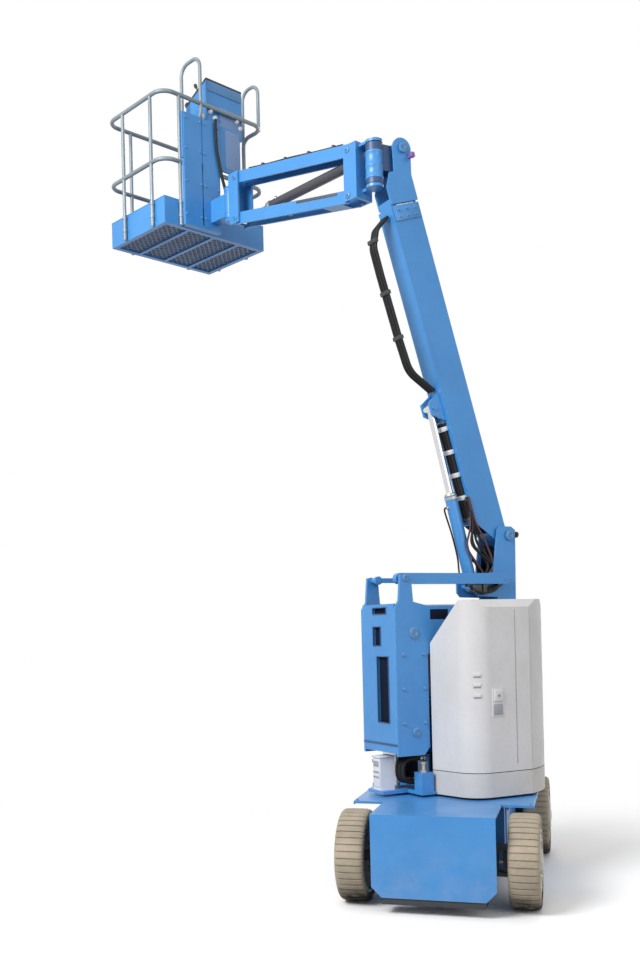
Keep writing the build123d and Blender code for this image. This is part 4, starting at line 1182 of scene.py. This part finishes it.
@piece("basket", "blackPlastic")
def consoleTop(mesh):
    for x0, z0, z1 in ((-0.004, -0.004, 0.016), (run - 0.03, 0.014, 0.034)):
        boxInto(mesh, consoleFrame, (x0, -0.004, z0), (run + 0.004, 0.364, z1), 0.006, 3)


@piece("basket", "greyBlueSheet")
def consoleKeys(mesh):
    for i in range(5):
        for j in range(2):
            x, y = 0.06 + 0.055 * j, 0.03 + 0.036 * i
            boxInto(mesh, consoleFrame, (x, y, 0.015), (x + 0.035, y + 0.025, 0.023))


@piece("basket", "blackPlastic")
def consoleSticks(mesh):
    profile = [(0.024, 0.015)]
    for i in range(4):
        profile += [(0.021 - 0.003 * i, 0.020 + 0.007 * i), (0.022 - 0.003 * i, 0.023 + 0.007 * i)]
    profile += [(0.006, 0.052), (0.006, 0.085), (0.013, 0.092), (0.015, 0.112), (0.010, 0.122),
                (0, 0.124)]
    for y in (0.250, 0.320):
        latheInto(mesh, place(consoleFrame, 0.15, y, 0), profile, 28)


@piece("basket", "redPlastic")
def consoleStop(mesh):
    latheInto(mesh, place(consoleFrame, 0.215, 0.09, 0.014), (
        (0.012, 0), (0.012, 0.012), (0.021, 0.014), (0.021, 0.022), (0.015, 0.028), (0, 0.029)), 32)


@piece("basket", "greenPlastic")
def consoleLamps(mesh):
    for i in range(3):
        latheInto(mesh, place(consoleFrame, 0.035, 0.045 + 0.05 * i, 0.014), (
            (0.007, 0), (0.007, 0.004), (0.004, 0.008), (0, 0.009)), 18)


@piece("basket", "displayGlass")
def consoleDisplay(mesh):
    boxInto(mesh, consoleFrame, (0.02, 0.23, 0.0155), (0.085, 0.34, 0.0185), 0.002)


@piece("basket", "pinPaint")
def mountBolts(mesh):
    boltsInto(mesh, basketFrame, (0.193,), (-0.045, 0.09, 0.135, 0.275), (4.85, 5.10, 5.35, 5.58),
              0.012, "-X")


@piece("basket", "bluePaint")
def mountRotator(mesh):
    latheInto(mesh, place(basketFrame, 0, 0, 4.841), (
        (0.0495, 0), (0.0535, 0.004), (0.0535, 0.016), (0.0495, 0.020), (0.0495, 0.17),
        (0.0535, 0.174), (0.0535, 0.186), (0.0495, 0.190)), 40)


@piece("entry_bar", "yellowPlastic")
def entryGrip(mesh):
    low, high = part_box("entry_bar")
    middle = basketFrame.inverted() @ ((low + high) / 2)
    for x in (middle.x - 0.09, middle.x + 0.03):
        boxInto(mesh, basketFrame, (x, middle.y - 0.018, middle.z - 0.016),
                (x + 0.06, middle.y + 0.018, middle.z + 0.016), 0.006, 3)


print("basket ready")

# ---- stage, light and camera
stageSpec = {"radius": 40.0, "near": 1.3, "far": 3.8, "air": 0.50}
floorMesh = bmesh.new()
bmesh.ops.create_circle(floorMesh, cap_ends=True, segments=96, radius=stageSpec["radius"])
floorData = bpy.data.meshes.new("studioFloor")
floorMesh.to_mesh(floorData)
floorMesh.free()
studioFloor = bpy.data.objects.new("studioFloor", floorData)
bpy.context.scene.collection.objects.link(studioFloor)


def seenDirectly(tree):
    path = addNode(tree, "ShaderNodeLightPath").outputs
    first = mathNode(tree, "ADD", path["Is Camera Ray"], path["Is Glossy Ray"], clamp=True)
    return mathNode(tree, "ADD", first, path["Is Transmission Ray"], clamp=True)


# pale floor that keeps the shadow near the machine and turns to plain white further out
floorPaint = bpy.data.materials.new("studioFloorPaint")
floorPaint.use_nodes = True
tree = floorPaint.node_tree
shader = tree.nodes["Principled BSDF"]
shader.inputs["Roughness"].default_value = 0.9
floorTone = addNode(tree, "ShaderNodeGroup", {
    "Main": (0.94, 0.94, 0.94, 1), "Second": (0.92, 0.92, 0.92, 1), "Scale": 0.6},
    node_tree=toneGroup)
direct = seenDirectly(tree)
link(tree, mixNode(tree, direct, (0.38, 0.38, 0.39, 1), floorTone.outputs["Color"]),
     shader.inputs["Base Color"])
coordinate = addNode(tree, "ShaderNodeTexCoord")
distance = addNode(tree, "ShaderNodeVectorMath", {0: coordinate.outputs["Object"]},
                   operation="LENGTH")
fade = rangeNode(tree, distance.outputs["Value"], stageSpec["near"], stageSpec["far"],
                 curve="SMOOTHSTEP")
glow = addNode(tree, "ShaderNodeEmission", {"Color": (1, 1, 1, 1), "Strength": 1.0})
blendIn = addNode(tree, "ShaderNodeMixShader", {
    0: mathNode(tree, "MULTIPLY", fade, direct), 1: shader.outputs["BSDF"],
    2: glow.outputs["Emission"]})
link(tree, blendIn.outputs["Shader"], tree.nodes["Material Output"].inputs["Surface"])
floorData.materials.append(floorPaint)

world = bpy.data.worlds.new("studioAir")
bpy.context.scene.world = world
world.use_nodes = True
tree = world.node_tree
background = tree.nodes["Background"]
link(tree, rangeNode(tree, seenDirectly(tree), 0.0, 1.0, stageSpec["air"]),
     background.inputs["Strength"])
background.inputs["Color"].default_value = (1, 1, 1, 1)

# name, place, target, size, watts
lampTable = (
    ("keyLamp", (7.5, 2.0, 7.0), (0.2, -0.3, 2.2), 4.0, 860),
    ("fillLamp", (-1.0, 8.5, 4.0), (-0.2, 0.0, 2.0), 5.0, 200),
    ("backLamp", (-6.0, -5.0, 7.0), (0.0, 0.0, 3.0), 4.0, 240),
)
for name, spot, target, size, watts in lampTable:
    lamp = bpy.data.lights.new(name, "AREA")
    lamp.energy = watts
    lamp.size = size
    lampObject = bpy.data.objects.new(name, lamp)
    lampObject.location = spot
    lampObject.rotation_euler = (Vector(target) - Vector(spot)).to_track_quat("-Z", "Y").to_euler()
    bpy.context.scene.collection.objects.link(lampObject)

cameraSpec = {"place": (4.275, 5.831, 1.665), "look": (-0.4271, -0.9042, 0.0), "lens": 58.95,
              "shift": (0.1141, 0.2375), "roll": -1.398}
camera = bpy.data.cameras.new("studioCamera")
camera.sensor_fit = "HORIZONTAL"
camera.sensor_width = 36.0
camera.lens = cameraSpec["lens"]
camera.shift_x, camera.shift_y = cameraSpec["shift"]
camera.clip_end = 200
cameraObject = bpy.data.objects.new("studioCamera", camera)
turn = Vector(cameraSpec["look"]).to_track_quat("-Z", "Y").to_matrix().to_4x4()
cameraObject.matrix_world = Matrix.Translation(cameraSpec["place"]) @ turn @ Matrix.Rotation(
    math.radians(cameraSpec["roll"]), 4, "Z")
bpy.context.scene.collection.objects.link(cameraObject)
bpy.context.scene.camera = cameraObject
bpy.context.scene.view_settings.view_transform = "Standard"
print("stage ready")
